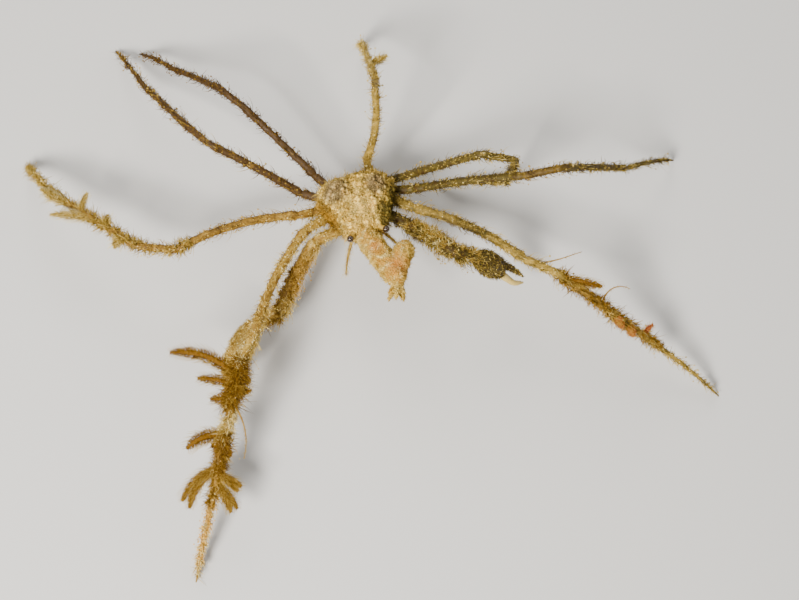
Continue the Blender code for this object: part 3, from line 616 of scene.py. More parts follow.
# Patches of another colour on a limb: its segment, the place along that, reach, colour and strength
patches = {
    "leg2_right": ((3, 0.09, 4.6, "orange", 0.95), (3, 0.64, 3.8, "orange", 0.8),
                   (3, 0.86, 3.4, "amber", 0.8), (4, 0.45, 9.0, "tan", 0.6), (1, 0.6, 5.0, "gold", 0.25)),
    # The amber on the right claw's arm is its orange-brown colour together with painted shade.
    "cheliped_right": ((1, 0.5, 6.5, "amber", 0.75), (2, 0.5, 4.0, "gold", 0.5)),
    "leg2_left": ((3, 0.3, 7.0, "amber", 0.75), (3, 0.75, 6.0, "amber", 0.6)),
    "leg3_right": ((3, 0.3, 9.0, "gold", 0.5), (1, 0.5, 12.0, "gold", 0.45)),
    "leg3_left": ((2, 0.5, 6.0, "amber", 0.5),),
}


# Bone to straw to gold to umber in small patches; tufts are dark at the root and pale at the tip.
def limbColours(finish, coat, pale, mid, dark, shift, limb=None):
    value = finish.noise(1.3, 3.0, 0.6) * 0.8 + finish.noise(7.0, 1.0) * 0.3
    value = value + finish.noise(0.45, 2.0) * 0.36 - 0.24 + shift
    if coat:
        value = value + (finish.kept("tip") - 0.45) * 0.62 + (finish.kept("tint") - 0.5) * 0.5
    colour = finish.ramp(value, (0.2, dark), (0.42, mid), (0.66, pale), (0.9, "cream"), (1.0, "bone"))
    points = jointsOf(limb)[0] if limb else ()
    shade = (value * 2.2).between(0.25, 2.6) * 2.6
    for segment, along, reach, word, strength in patches.get(limb, ()):
        spot = points[segment] + (points[segment + 1] - points[segment]) * along
        colour = finish.patched(colour, spot, reach, 0.0, 0.55, strength, finish.shaded(tints[word], shade))
    return colour


def limbFinish(name, coat, *look, limb=None):
    made = Finish(name, 0.7 if coat else 0.6, Specular_IOR_Level=0.12 if coat else 0.3)
    made.paint(limbColours(made, coat, *look, limb=limb))
    if not coat:
        made.bump(made.noise(0.22, 3.0) * 0.6 + made.cells(0.3) * 0.5, 0.09)
        made.shine(made.noise(0.8).between(0.2, 0.9) * 0.25 + 0.45)
    return made


# Regions of the shell, in the body's own frame: place, reach, where each starts and is full, strength, tint
regions = (
    ((0.6, -4.4, 4.4), 4.4, 0.0, 0.7, 0.6, "cream"),
    ((-3.6, -0.6, 5.0), 3.4, 0.0, 0.5, 0.8, "greyLobe"),
    ((3.6, -1.4, 5.0), 2.6, 0.0, 0.5, 0.8, "greyLobe"),
    ((-7.4, -2.6, 0.4), 4.6, 0.05, 0.45, 0.85, "amber"),
    ((-6.6, -4.6, 1.0), 4.2, 0.05, 0.45, 0.85, "amber"),
    # The two olive regions on the left flank are painted shade.
    ((6.6, -3.2, 0.6), 4.4, 0.05, 0.45, 0.9, "olive"),
    ((4.4, -5.9, 1.6), 3.4, 0.05, 0.45, 0.9, "olive"),
    ((2.6, 3.0, 1.4), 3.0, 0.05, 0.6, 0.6, "gold"),
)


# Grey rear lobes, a cream middle, gold flanks and painted shade in olive on the left flank; hollows are
# darkened as painted shade, and the roots of the felt are dark.
def bodyFinish(name, coat):
    made = Finish(name, 0.85, Specular_IOR_Level=0.15)
    blotch = made.noise(1.0, 4.0, 0.5)
    colour = made.ramp(blotch, (0.3, "gold"), (0.46, "straw"), (0.6, "cream"), (0.8, "bone"))
    for place, *measures, word in regions:
        colour = made.patched(colour, inWorld(place)[0], *measures, tints[word])
    colour = made.mix(made.noise(0.8, 3.0).between(0.6, 0.68) * 0.5, colour, tints["tan"])
    shade = made.noise(0.26, 3.0) * 1.5 + made.noise(0.14, 1.0) * 0.9 - 0.25 + (made.kept("tint") - 0.5)
    if coat:
        shade = shade + (made.kept("tip") - 0.5) * 0.8
    made.paint(made.shaded(colour, shade))
    if not coat:
        made.bump(made.noise(0.3, 4.0) * 0.7 + made.cells(0.26) * 0.6, 0.16)
    return made


# Peach and straw along the arms, amber and cream at their edges, which are darker and yellower as the
# sponge's own colour with painted shade, and pink glows
def spongeFinish(name, coat):
    made = Finish(name, 0.82, Specular_IOR_Level=0.15)
    value = made.noise(1.0, 3.0, 0.4) * 1.2 + 0.03
    if coat:
        value = value + (made.kept("tip") - 0.5) * 0.5
    middle = made.ramp(value, (0.18, "amber"), (0.38, "tan"), (0.58, "peach"), (0.74, "straw"),
                       (0.92, "bone"))
    rim = made.ramp(value, (0.2, "olive"), (0.42, "amber"), (0.6, "straw"), (0.85, "cream"))
    colour = made.mix(made.kept("tint").between(0.3, 0.9), middle, rim)
    for forward, off, reach, strength in sponge.glows:
        spot = inWorld(spongeStart + spongeWay * forward + off)[0]
        colour = made.patched(colour, spot, reach, 0.0, 0.8, strength, tints["pink"])
    made.paint(made.shaded(colour, made.noise(0.22, 2.0) * 1.5 + 0.24))
    if not coat:
        made.bump(made.noise(0.25, 4.0) * 0.7 + made.cells(0.24) * 0.5, 0.14)
    return made


# How each point lies on the two arms: its spot on the map, and 1 at their edges seen from above
def onArms(arms, point):
    spots = np.empty((len(point), 2))
    edge = np.empty(len(point))
    nearest = np.full(len(point), np.inf)
    for number, arm in enumerate(arms):
        rel = point - arm.line[0]
        along, lean = arm.along[0], arm.side[0]
        share = np.clip(rel @ along / arm.length, 0, 1)
        gap = np.linalg.norm(rel - along * (share * arm.length)[:, None], axis=1)
        turn = np.arctan2(rel @ np.cross(along, lean), rel @ lean)
        mine = gap < nearest
        place = np.stack((mapSpots(turn, share)[:, 0], 0.02 + 0.46 * share + 0.5 * number), 1)
        spots[mine], edge[mine], nearest[mine] = place[mine], np.abs(np.sin(turn))[mine], gap[mine]
    return spots, edge


def weedFinish(name, low, middle, high):
    made = Finish(name, 0.7, Specular_IOR_Level=0.12)
    tip = made.kept("tip")
    value = made.noise(1.0, 3.0) * 0.6 + tip * tip * 0.7 + made.kept("tint") * 0.6 - 0.38
    made.paint(made.ramp(value, (0.15, low), (0.5, middle), (0.95, high)))
    return made


# Limb skins

def limbTube(name):
    limb = limbs[name]
    points, ways = jointsOf(name)
    radii = limbSizes.radii[limb.pair]
    count = 5 if limb.pair > 1 else 3
    root = points[0] - heading(*ways[0]) * body.hipDepth
    line = [root[None]]
    girth = [np.array([radii[0] * 0.9])]
    for number in range(count):
        near = radii[number] if number < 1 else (radii[number] + radii[number - 1]) / 2
        far = radii[number] if number == 4 else (radii[number] + radii[min(number + 1, count - 1)]) / 2
        start, end = points[number], points[number + 1]
        length = np.linalg.norm(end - start)
        share = np.arange(0.0, 1.0, fineStep / length)
        way, side = heading(*ways[number]), levelSide(ways[number][0])
        rise = limbSizes.upBows[number] if limb.pair > 1 else 0.0
        bow = limb.bow * limb.side if number == 1 else 0.0
        bend = (np.cross(way, side) * rise + side * bow) * length
        line.append(start + (end - start) * share[:, None] + bend * (4 * share * (1 - share))[:, None])
        if number == 4:
            width = near + (limbSizes.tipRadius - near) * share ** 0.9
        else:
            width = near + (far - near) * share
            for spot in (0.06, 0.94):
                width = width * (1 + limbSizes.knuckle * hump(share, spot, 0.05))
        away = np.minimum(share if number else share + 9, 1 - share if number < 4 else share + 9) * length
        girth.append(width * (1 - limbSizes.neck * hump(away, 0.0, 0.3)))
    line.append(points[count][None])
    girth.append(np.array([limbSizes.tipRadius if count == 5 else radii[2] * 0.9]))
    line, girth = evenly(np.concatenate(line), np.concatenate(girth), fineStep)
    line, girth = evenly(softened(line, 3), girth, 2 * fineStep)
    return Tube(line, girth * limbSizes.coatDepth, levelSide(limb.yaws[0]))


def limbRelief(seed):
    def relief(corners, share, turn):
        ridges = 0.022 * np.cos(3 * turn + 0.4 * np.sin(9 * share))
        waves = 0.035 * ripple(corners, 1.3, seed) + 0.028 * ripple(corners, 0.55, seed + 1)
        return (ridges + waves) * np.minimum(1.0, (1 - share) * 12 + 0.2)
    return relief


# Coat of a limb: short down, curled shag and loose grains by the square millimetre, and rows of hooked
# bristles with silt on their ends by the millimetre. A limb's look is its pale, middle and dark tint, and
# how light it is; leg4_right and leg5_right are made darker as painted shade.
warm, dim = ("straw", "gold", "umber"), ("khaki", "olive", "umber")
coat = {
    "down": 8.5, "downLength": (0.22, 0.5), "downWidth": 0.08,
    "shag": 3.4, "shagLength": (0.45, 1.0), "shagWidth": 0.095,
    "bristles": 4.2, "bristleLength": (0.8, 1.8), "bristleWidth": 0.12,
    "grains": 1.7, "grainRadius": (0.06, 0.16),
    "skinDark": 0.14, "tuftStrands": 12,
    "rows": (0.0, 0.0, math.pi, math.pi, 0.55, math.pi - 0.55, 1.2, 2.1, -0.6, math.pi + 0.6),
    "weedy": {"leg2_right": 1.5, "leg2_left": 1.3, "leg3_right": 1.1,
              "cheliped_right": 1.6, "cheliped_left": 1.6},
    "looks": {"cheliped_right": (warm, 0.17), "leg2_right": (warm, 0.17), "leg3_right": (warm, 0.03),
              # leg4_right and leg5_right: lower values that are painted shade
              "leg4_right": (warm, -0.22), "leg5_right": (warm, -0.38),
              "cheliped_left": (dim, -0.04), "leg2_left": (("straw", "khaki", "olive"), 0.06),
              "leg3_left": (dim, 0.0), "leg4_left": (dim, 0.03),
              "leg5_left": (("straw", "khaki", "umber"), 0.10)},
}


feltCorners = 7  # of one felt strand with two rings


def feltOn(point, out, along, spot, draw, lengths, width, lean=0.6, rings=2):
    count = len(point)
    way = unit(out * 0.8 + along * lean + stray(draw, count, 0.42))
    bend = along * 0.3 + stray(draw, count, 0.4) - out * 0.12
    clump = 0.95 + 0.4 * ripple(point, 1.5, 5)
    length = draw.uniform(*lengths, count) * np.clip(clump, 0.45, 1.6)
    return strands(point - out * 0.05, way, bend, length, width * draw.uniform(0.7, 1.3, count), spot,
                   draw.random(count), rings=rings, hook=stray(draw, count, 0.25))


def bristlesOn(tube, share, turn, draw, lengths, width, curl=1.0, laden=0.35, rings=4):
    count = len(share)
    point, out, along = tube.at(share, turn)
    length = draw.uniform(*lengths, count)
    way = unit(out + along * draw.uniform(-0.1, 0.6, (count, 1)) + stray(draw, count, 0.25))
    bend = along * draw.uniform(0.1, 0.8, (count, 1)) * curl + stray(draw, count, 0.28)
    hook = (along * 0.25 - out * draw.uniform(0.3, 0.9, (count, 1))) * curl
    spots = mapSpots(turn, share)
    made = strands(point - out * 0.06, way, bend, length, width * draw.uniform(0.8, 1.25, count), spots,
                   0.5 + 0.5 * draw.random(count), rings=rings, hook=hook, blunt=0.5)
    full = draw.random(count) < laden
    ends = (point + (way + bend + hook) * length[:, None])[full]
    radius = width * draw.uniform(0.7, 1.5, len(ends))
    return joined([made, grains(ends - out[full] * radius[:, None], out[full], radius, spots[full],
                                0.7 + 0.3 * draw.random(len(ends)), draw)])


def tuftsOn(tube, share, turn, draw, lengths, width):  # bunches of strands from one root each
    count = len(share)
    point, out, along = tube.at(share, turn)
    lean = unit(out + stray(draw, count, 0.35) + along * 0.25)
    long = draw.uniform(*lengths, count)
    row = np.repeat(np.arange(count), coat["tuftStrands"])
    total = len(row)
    root = point[row] + stray(draw, total, 0.1) - out[row] * 0.08
    way = unit(lean[row] + stray(draw, total, 0.5))
    bend = stray(draw, total, 0.3)
    length = long[row] * draw.uniform(0.5, 1.1, total)
    hook = stray(draw, total, 0.25) + along[row] * 0.15
    return strands(root, way, bend, length, width * draw.uniform(0.7, 1.3, total), mapSpots(turn, share)[row],
                   draw.random(total) * 0.8 + 0.1, rings=3, hook=hook, blunt=0.55)


def limbCoat(name, tube):
    draw = drawFor(name)
    weedy = coat["weedy"].get(name, 1.0)
    area = tau * tube.girth.mean() * tube.length
    start = body.hipDepth / tube.length * 0.7  # past most of what lies inside the body
    parts = []
    for word, rings, lean in (("down", 2, 0.6), ("shag", 3, 0.25)):
        count = int(area * coat[word] * (weedy if word == "shag" else 1.0))
        share, turn = allRound(draw, start, 0.985, count)
        point, out, along = tube.at(share, turn)
        keep = ripple(point, 1.6, 3) + draw.normal(size=count) * 0.5 > -0.9
        spots = mapSpots(turn, share)
        parts.append(feltOn(point[keep], out[keep], along[keep], spots[keep], draw, coat[word + "Length"],
                            coat[word + "Width"], lean, rings))
    count = int(tube.length * coat["bristles"] * weedy)
    share = draw.uniform(start, 0.96, count)
    turn = draw.choice(coat["rows"], count) + draw.normal(size=count) * 0.2
    parts.append(bristlesOn(tube, share, turn, draw, coat["bristleLength"], coat["bristleWidth"]))
    count = int(area * coat["grains"] * weedy)
    share, turn = allRound(draw, start, 0.97, count)
    lift = draw.uniform(0.0, 0.35, count)[:, None] * (draw.random((count, 1)) < 0.4)
    point, out, _ = tube.at(share, turn, lift)
    radius = draw.uniform(*coat["grainRadius"], count)
    parts.append(grains(point, out, radius, mapSpots(turn, share), 0.3 + 0.7 * draw.random(count), draw))
    return parts


def addLimbs():
    for number, name in enumerate(limbs):
        tube = limbTube(name)
        tubes[name] = tube
        words = clawWords[:3] if limbs[name].pair == 1 else legWords
        blend, shift = coat["looks"][name]
        skin = limbFinish("skin_" + name, False, *blend, shift - coat["skinDark"], limb=name)
        fur = limbFinish("coat_" + name, True, *blend, shift, limb=name)
        nodes = [f"{name}_{word}" for word in words]
        addPiece("skin_" + name, tube.skin(18, limbRelief(30 + number)), skin, nodes)
        addCoat("coat_" + name, limbCoat(name, tube), fur)
        finishes[name] = (skin, fur)
    print("limbs", counted["triangles"])


tubes = {}
finishes = {}


# Claws: a swollen palm with a fixed finger, and a moving finger beside it
claw = SimpleNamespace(
    profile=((0.0, 0.5), (0.13, 0.68), (0.3, 0.95), (0.55, 1.0), (0.78, 0.92), (0.92, 0.82), (1.0, 0.76)),
    squash=0.8,
    spread=0.95,
    coatDepth=0.95,
    felt=2600,
    fingerShares=(1.25, 1.15, 1.0, 0.85, 0.65, 0.25),
    teeth=9,
)


def fingerPath(start, along, onward, out, reach, opening):
    path = [start + out * claw.spread]
    for number in range(1, 6):
        share = number / 5
        way = unit(along * (1 - min(1.0, share * 1.6)) + onward * min(1.0, share * 1.6))
        hook = opening * (1.0 if share < 0.7 else -0.6) - (0.25 if share > 0.7 else 0.0)
        path.append(path[-1] + unit(way + out * hook) * (reach / 5))
    return np.array(path)


def fingerSkin(path, slim, side, inner):
    run = np.linspace(0, 1, len(path))
    fine = np.linspace(0, 1, 60)
    line = softened(np.stack([np.interp(fine, run, column) for column in path.T], 1), 4)
    girth = np.interp(fine, run, [slim * share for share in claw.fingerShares])

    def relief(corners, share, turn):
        facing = np.maximum(0.0, np.cos(turn - inner)) ** 6
        tooth = 0.5 + 0.5 * np.cos(share * tau * claw.teeth)
        return 0.13 * facing * tooth * (share > 0.15) + 0.02 * ripple(corners, 0.6, 8)
    return Tube(line, girth * claw.coatDepth, side).skin(16, relief)


def addClaws():
    tip = Finish("clawTips", 0.35, Coat_Weight=0.2)
    tip.paint(limbColours(tip, False, "cream", "straw", "gold", 0.12))
    tip.bump(tip.noise(0.2, 3.0), 0.05)
    for word in ("right", "left"):
        name = "cheliped_" + word
        points, ways = jointsOf(name)
        palm, slim = limbSizes.radii[1][3:]
        reach = limbSizes.lengths[1][4]
        along, side, onward = heading(*ways[3]), levelSide(ways[3][0]), heading(*ways[4])
        run = np.linspace(0.0, 1.0, 48)
        line = points[3] + (points[4] - points[3]) * run[:, None]
        girth = palm * np.interp(run, *zip(*claw.profile)) * claw.coatDepth
        rounding = np.sqrt(np.clip(1 - np.clip((run - 0.93) / 0.075, 0, 1) ** 2, 0.02, 1))
        hand = Tube(line, softened(girth[:, None], 2)[:, 0] * rounding, side, claw.squash)
        inward, facing = (side, 0.0) if word == "right" else (-side, math.pi)
        fixed = fingerPath(points[4] - along * 1.2, along, onward, -inward, reach + 1.2, 0.0)
        moving = fingerPath(points[4] + along * 0.2, along, onward, inward, reach, 0.22)
        handSkin = hand.skin(40, lambda c, share, turn: 0.05 * ripple(c, 1.4, 4) + 0.04 * ripple(c, 0.6, 9))
        corners, faces, normals = fused([handSkin, fingerSkin(fixed, slim, side, facing)], 0.11)
        skin, fur = finishes[name]
        addPiece("palm_" + word, (corners, faces), skin, [name + "_hand"])
        finger = fingerSkin(moving, slim, side, facing + math.pi)
        addPiece("finger_" + word, finger, tip, [name + "_finger"])
        draw = drawFor("palm " + word)
        point, out, _ = scattered(corners, faces, normals, claw.felt, draw, corners[:, 0])
        rel = point - points[3]
        share = np.clip(rel @ along / (8.0 + reach), 0, 1)
        turn = np.arctan2(rel @ np.cross(along, side), rel @ side)
        spots = mapSpots(turn, share)
        flow = np.tile(along, (len(point), 1))
        parts = [feltOn(point, out, flow, spots, draw, (0.2, 0.5), 0.085)]
        few = draw.random(len(point)) < 0.2
        parts.append(grains(point[few], out[few], draw.uniform(0.06, 0.15, few.sum()), spots[few],
                            0.4 + 0.6 * draw.random(few.sum()), draw))
        edge = (np.abs(np.cos(turn)) > 0.75) & (draw.random(len(point)) < 0.25)
        count = edge.sum()
        parts.append(strands(point[edge], unit(out[edge] + flow[edge] * 0.4), flow[edge] * 0.5,
                             draw.uniform(0.5, 1.2, count), 0.1, spots[edge], 0.6 + 0.4 * draw.random(count),
                             rings=4, hook=-out[edge] * 0.6, blunt=0.5))
        addCoat("coat_palm_" + word, parts, fur)
    print("claws", counted["triangles"])


# Body skin

def sectionAt(place):
    rows = np.array(body.sections)
    spot = np.interp(-place, -rows[:, 0], np.arange(len(rows)))
    low = np.minimum(spot.astype(int), len(rows) - 2)
    share = spot - low
    share = share * share * (3 - 2 * share) * 0.4 + share * 0.6
    part = share[:, None]
    return (rows[low, 1:] * (1 - part) + rows[low + 1, 1:] * part).T


def barePoint(place, turn):
    half, top, bottom = sectionAt(place)
    c, s = np.cos(turn), np.sin(turn)
    x = half * np.sign(c) * np.abs(c) ** body.sidePower
    rise = np.abs(s) ** body.topPower
    z = np.where(s > 0, top, bottom) * rise
    for off, middle, height, wide, long in body.swellings:
        swell = height * np.exp(-((np.abs(x) - off) / wide) ** 2 - ((place - middle) / long) ** 2)
        z = z + np.maximum(s, 0) * swell
    return np.stack((x, place, z), 1)


def lumpCentres():
    draw = random.Random(7)
    back, front = body.sections[0][0], body.sections[-1][0]
    rows = [(draw.uniform(front + 0.8, back), draw.uniform(0.0, math.pi)) for _ in range(body.lumps)]
    return barePoint(*np.array(rows).T)


def overSeam(rows):  # height above the seam between the back and the breast
    return rows[:, 2] - body.seamHeight - body.seamSlope * rows[:, 1]


def bodyPoint(place, turn, lumps):  # the body's surface with the crust on its back
    bare = barePoint(place, turn)
    s = np.sin(turn)
    gap = np.linalg.norm(bare[:, None] - lumps[None], axis=2)
    peak = (body.lumpHeight * 2 * np.exp(-(gap / body.lumpSpread) ** 2)).max(1)
    depth = np.minimum(np.maximum(body.crust, peak), 1.6 * body.lumpHeight)
    clefts = hump(ripple(bare, 2.4, 43), 0.0, 0.2)
    cobbles = 0.7 * ripple(bare, 1.5, 41) + 0.6 * ripple(bare, 0.7, 42) - 0.9 * clefts
    depth = depth + body.cobble * cobbles
    fade = np.clip(s / 0.35, 0, 1) * np.clip((place - body.sections[-1][0]) / 1.2, 0.25, 1)
    out = unit(np.stack((bare[:, 0] * 0.6, np.zeros(len(bare)), bare[:, 2]), 1))
    seam = overSeam(bare)
    rim = 0.16 * hump(seam, 0.12, 0.25) - 0.12 * hump(seam, -0.32, 0.16)
    grooves = np.zeros(len(bare))
    for line in body.tailLines:
        grooves -= 0.10 * hump(place, line + 0.05 * np.abs(bare[:, 0]), 0.12)
    grooves *= np.clip(-s - 0.35, 0, 1) * 1.6
    # The second value follows the cobbles' height and darkens the hollows as painted shade.
    return bare + out * (depth * fade + rim + grooves)[:, None], np.clip(0.5 + 0.24 * cobbles * fade, 0, 1)


def bodyGrid(rings, sides):
    back, front = body.sections[0][0], body.sections[-1][0]
    place = np.repeat(np.linspace(back, front, rings), sides)
    turn = np.tile(np.arange(sides) * tau / sides, rings)
    corners, height = bodyPoint(place, turn, lumpCentres())
    caps = []
    for ring, step in ((corners[:sides], 1), (corners[-sides:], -1)):
        middle = ring.mean(0)
        caps.append([middle + (ring - middle) * shrink + (0.0, push * step, 0.0)
                     for shrink, push in ((0.86, 0.22), (0.6, 0.4), (0.3, 0.5))])
    corners, faces = closedGrid(np.concatenate([*caps[0][::-1], corners, *caps[1]]), rings + 6, sides)
    corners = inWorld(corners)
    flat = np.full(3 * sides, 0.5)
    return corners, outward(corners, faces), np.concatenate([flat, height, flat, (0.5, 0.5)])


def addBody():
    corners, faces, height = bodyGrid(96, 160)
    skin, felt = bodyFinish("bodySkin", False), bodyFinish("bodyCoat", True)
    # height darkens the shell in its hollows as painted shade.
    shell = plainBundle(corners, faces)._replace(tint=height)
    addPiece("body_shell", shell, skin, ["carapace", "sternum"])
    draw = drawFor("body")
    point, out, high = scattered(corners, faces, cornerNormals(corners, faces), body.felt, draw, height)
    total = len(point)
    own = (point - centre) @ turned(np.eye(3)).T
    spots = mapSpots(np.arctan2(own[:, 2], own[:, 0]), (5.5 - own[:, 1]) / 14.0)
    upper = overSeam(own) > draw.normal(size=total) * 0.3 - 0.5
    keep = upper | (draw.random(total) < 0.3)
    flow = unit(turned((0.0, -0.4, 0.0)) + out * (0.0, 0.0, 0.3))
    felts = feltOn(point[keep], out[keep], flow[keep], spots[keep], draw, (0.18, 0.46), 0.1, 0.35)
    # The felt and the grains take the same painted shade of the hollows from high.
    tint = felts.tint * 0.6 + 0.2 + np.repeat(high[keep] - 0.5, feltCorners)
    addCoat("coat_body", [felts._replace(tint=np.clip(tint, 0, 1))], felt)
    few = upper & (draw.random(total) < 0.3)
    parts = [grains(point[few], out[few], draw.uniform(0.08, 0.2, few.sum()), spots[few],
                    np.clip(high[few] + draw.uniform(-0.3, 0.4, few.sum()), 0, 1), draw)]
    knob = upper & (draw.random(total) < 0.05) & (high > 0.5) & (own[:, 1] < 1.5)
    parts.append(grains(point[knob], out[knob], draw.uniform(0.2, 0.42, knob.sum()), spots[knob],
                        draw.uniform(0.7, 1.0, knob.sum()), draw))
    edge = (np.abs(overSeam(own)) < 1.3) & (draw.random(total) < 0.34)
    edge |= upper & (draw.random(total) < 0.05)
    count = edge.sum()
    parts.append(strands(point[edge], unit(out[edge] + stray(draw, count, 0.35)), stray(draw, count, 0.35),
                         draw.uniform(0.45, 1.2, count), 0.095, spots[edge], draw.random(count), rings=4,
                         hook=stray(draw, count, 0.3), blunt=0.5))
    addCoat("tufts_body", parts, felt)
    print("body", counted["triangles"])


# Underside: a tail flap folded forward under the body, and a pair of mouth plates in front of it
under = SimpleNamespace(
    flat=-3.3, gap=0.3, tailHalf=2.7, tailFront=-2.6, tailRear=3.3, tailThick=0.9,
    mouthBack=-3.3, mouthFront=-6.6, mouthHalf=1.7, mouthSlope=-0.28, mouthThick=0.9,
)


def slab(half, front, rear, top, thick, slope, relief):
    rings, sides = 14, 56
    turn = np.tile(np.arange(sides) * tau / sides, rings)
    share = np.repeat(np.linspace(0.0, 1.0, rings), sides)
    radius = np.sqrt(np.clip(1 - (2 * np.clip(share, 0.02, 0.98) - 1) ** 4, 0, 1)) ** 0.7
    radius = np.where(share < 0.5, np.maximum(radius, 0.9), radius)
    depth = share * thick
    x = half * radius * np.sign(np.cos(turn)) * np.abs(np.cos(turn)) ** 0.85
    y = (front + rear) / 2 + (rear - front) / 2 * radius * np.sin(turn)
    z = top - depth + slope * (y - rear)
    z = z + relief(x, y) * np.clip(share * 2 - 0.6, 0, 1)
    corners, faces = closedGrid(inWorld(np.stack((x, y, z), 1)), rings, sides)
    return corners, outward(corners, faces)


def addUnderside():
    plate = Finish("underPlates", 0.5)
    value = plate.noise(1.6, 3.0) * 0.7 + plate.noise(0.3, 2.0) * 0.3
    plate.paint(plate.ramp(value, (0.3, "umber"), (0.5, "gold"), (0.7, "straw")))
    plate.bump(plate.noise(0.3, 3.0), 0.08)

    def tailRelief(x, y):
        lines = sum(hump(y, place, 0.09) for place in (-1.6, -0.7, 0.2, 1.1, 2.0))
        return 0.12 * lines - 0.18 * hump(np.abs(x), 0.0, 0.7) + 0.08 * hump(np.abs(x), 1.1, 0.2)

    def mouthRelief(x, y):
        return 0.25 * hump(x, 0.0, 0.09) + 0.12 * hump(np.abs(x), 0.95, 0.1) + 0.1 * hump(y, -4.6, 0.1)
    top = under.flat - under.gap
    tail = slab(under.tailHalf, under.tailFront, under.tailRear, top, under.tailThick, 0.0,
                tailRelief)
    addPiece("tail_flap", tail, plate, ["abdomen"])
    mouth = slab(under.mouthHalf, under.mouthFront, under.mouthBack, top, under.mouthThick,
                 under.mouthSlope, mouthRelief)
    addPiece("mouth_plates", mouth, plate, ["mouthparts"])


# Sponge on the snout: a stout arm forwards, a shorter one bent up and back to the left, a tuft at the bend.
# Each glow has its place along the first arm and off it, its reach and its strength.
sponge = SimpleNamespace(
    start=(-0.4, -8.1, 0.35), forward=10.6, yaw=-74.0, rise=4.0,
    back=(2.9, 3.8, 1.2), radii=(1.95, 1.62),
    near=((0.0, 0.74), (0.07, 0.9), (0.2, 0.98), (0.35, 1.0), (0.5, 1.03), (0.78, 1.0),
          (0.88, 0.92), (0.96, 0.7), (1.0, 0.2)),
    far=((0.0, 0.2), (0.05, 0.7), (0.15, 0.95), (0.5, 1.0), (0.8, 0.98), (0.9, 0.86),
         (0.97, 0.6), (1.0, 0.15)),
    tuft=((-50.0, -4.0), (-34.0, 8.0), (-18.0, -6.0)), tuftLength=4.9, tuftDepth=0.94,
    glows=((10.6, (0.6, 1.0, 1.6), 2.6, 0.42), (4.4, (-0.3, 0.0, 1.9), 1.8, 0.38)),
    voxel=0.17, felt=12000,
)
spongeStart = np.array(sponge.start)
spongeWay = heading(sponge.yaw, sponge.rise)


def armTube(start, way, length, thick, profile, side):
    run = np.linspace(0.0, 1.0, 70)
    line = start + way * (length * run)[:, None]
    girth = softened((thick * np.interp(run, *zip(*profile)))[:, None], 2)[:, 0]
    return Tube(inWorld(line), np.maximum(girth, 0.1), turned(side)[0])


def tuftSpike(bend, turn, rise):
    way = turned(heading(sponge.yaw + turn, rise))[0]
    run = np.linspace(0, 1, 16)
    length = sponge.tuftLength * sponge.tuftDepth
    line = inWorld(bend + spongeWay * 0.2)[0] + way * (length * run)[:, None]
    line[:, 2] -= 0.3 * run ** 2
    knobs = 1 + 0.25 * np.cos(run * tau * 3)
    return Tube(line, 0.55 * (1 - run) ** 0.45 * knobs + 0.1, upright).skin(10)


def addSponge():
    back = unit(np.array(sponge.back))
    side = unit(np.cross(spongeWay, back))
    bend = spongeStart + spongeWay * sponge.forward
    nearThick, farThick = sponge.radii
    nearLength, farLength = sponge.forward + 2.4, np.linalg.norm(sponge.back) + 2.6
    arms = [armTube(spongeStart - spongeWay * 0.8, spongeWay, nearLength, nearThick, sponge.near, side),
            armTube(bend - spongeWay * 0.5 - back * 1.4, back, farLength, farThick, sponge.far, side)]

    def relief(corners, share, turn):
        return 0.14 * ripple(corners, 2.2, 61) + 0.12 * ripple(corners, 1.0, 62)
    skins = [arm.skin(48, relief) for arm in arms]
    skins += [tuftSpike(bend, turn, rise) for turn, rise in sponge.tuft]
    corners, faces, normals = fused(skins, sponge.voxel, 2)
    pores = 0.06 * ripple(corners, 0.5, 63) + 0.03 * ripple(corners, 0.28, 64)
    corners = corners + normals * pores[:, None]
    # edge gives the sides of the arms their darker, yellower tints, in part as painted shade.
    edge = onArms(arms, corners)[1]
    skin, fuzz = spongeFinish("spongeSkin", False), spongeFinish("spongeCoat", True)
    addPiece("sponge_arms", plainBundle(corners, faces)._replace(tint=edge), skin, ["sponge_lobe"])
    draw = drawFor("sponge")
    point, out, _ = scattered(corners, faces, normals, sponge.felt, draw, edge)
    total = len(point)
    spots, edge = onArms(arms, point)
    flow = stray(draw, total, 0.5)
    tint = np.clip(edge + draw.uniform(-0.25, 0.25, total), 0, 1)
    felts = feltOn(point, out, flow, spots, draw, (0.16, 0.36), 0.1, 0.3)
    parts = [felts._replace(tint=np.repeat(tint, feltCorners))]
    few = draw.random(total) < 0.25
    radius = draw.uniform(0.07, 0.18, few.sum())
    parts.append(grains(point[few], out[few], radius, spots[few], tint[few], draw))
    long = draw.random(total) < 0.08
    count = long.sum()
    parts.append(strands(point[long], unit(out[long] + stray(draw, count, 0.3)), stray(draw, count, 0.35),
                         draw.uniform(0.35, 0.8, count), 0.08, spots[long], tint[long], rings=4, blunt=0.5))
    addCoat("coat_sponge", parts, fuzz)
    print("sponge", counted["triangles"])


# Head: stalked eyes and a pair of jointed feelers
head = SimpleNamespace(
    eye=(2.5, -7.95, 1.4), eyeWay=(-55.0, 14.0), eyeRadius=0.62,
    stalk=0.42, stalkReach=(-1.4, 2.3),
    feeler=(2.75, -7.7, -0.7), feelerWays={1: (-56.0, -10.0), -1: (-124.0, -10.0)},
    feelerTurn=(21, 24), feelerLength=7.5, feelerSunk=0.8, feelerRadius=0.32,
    feelerRings=11, feelerHairs=260, feelerSteps=30,
)


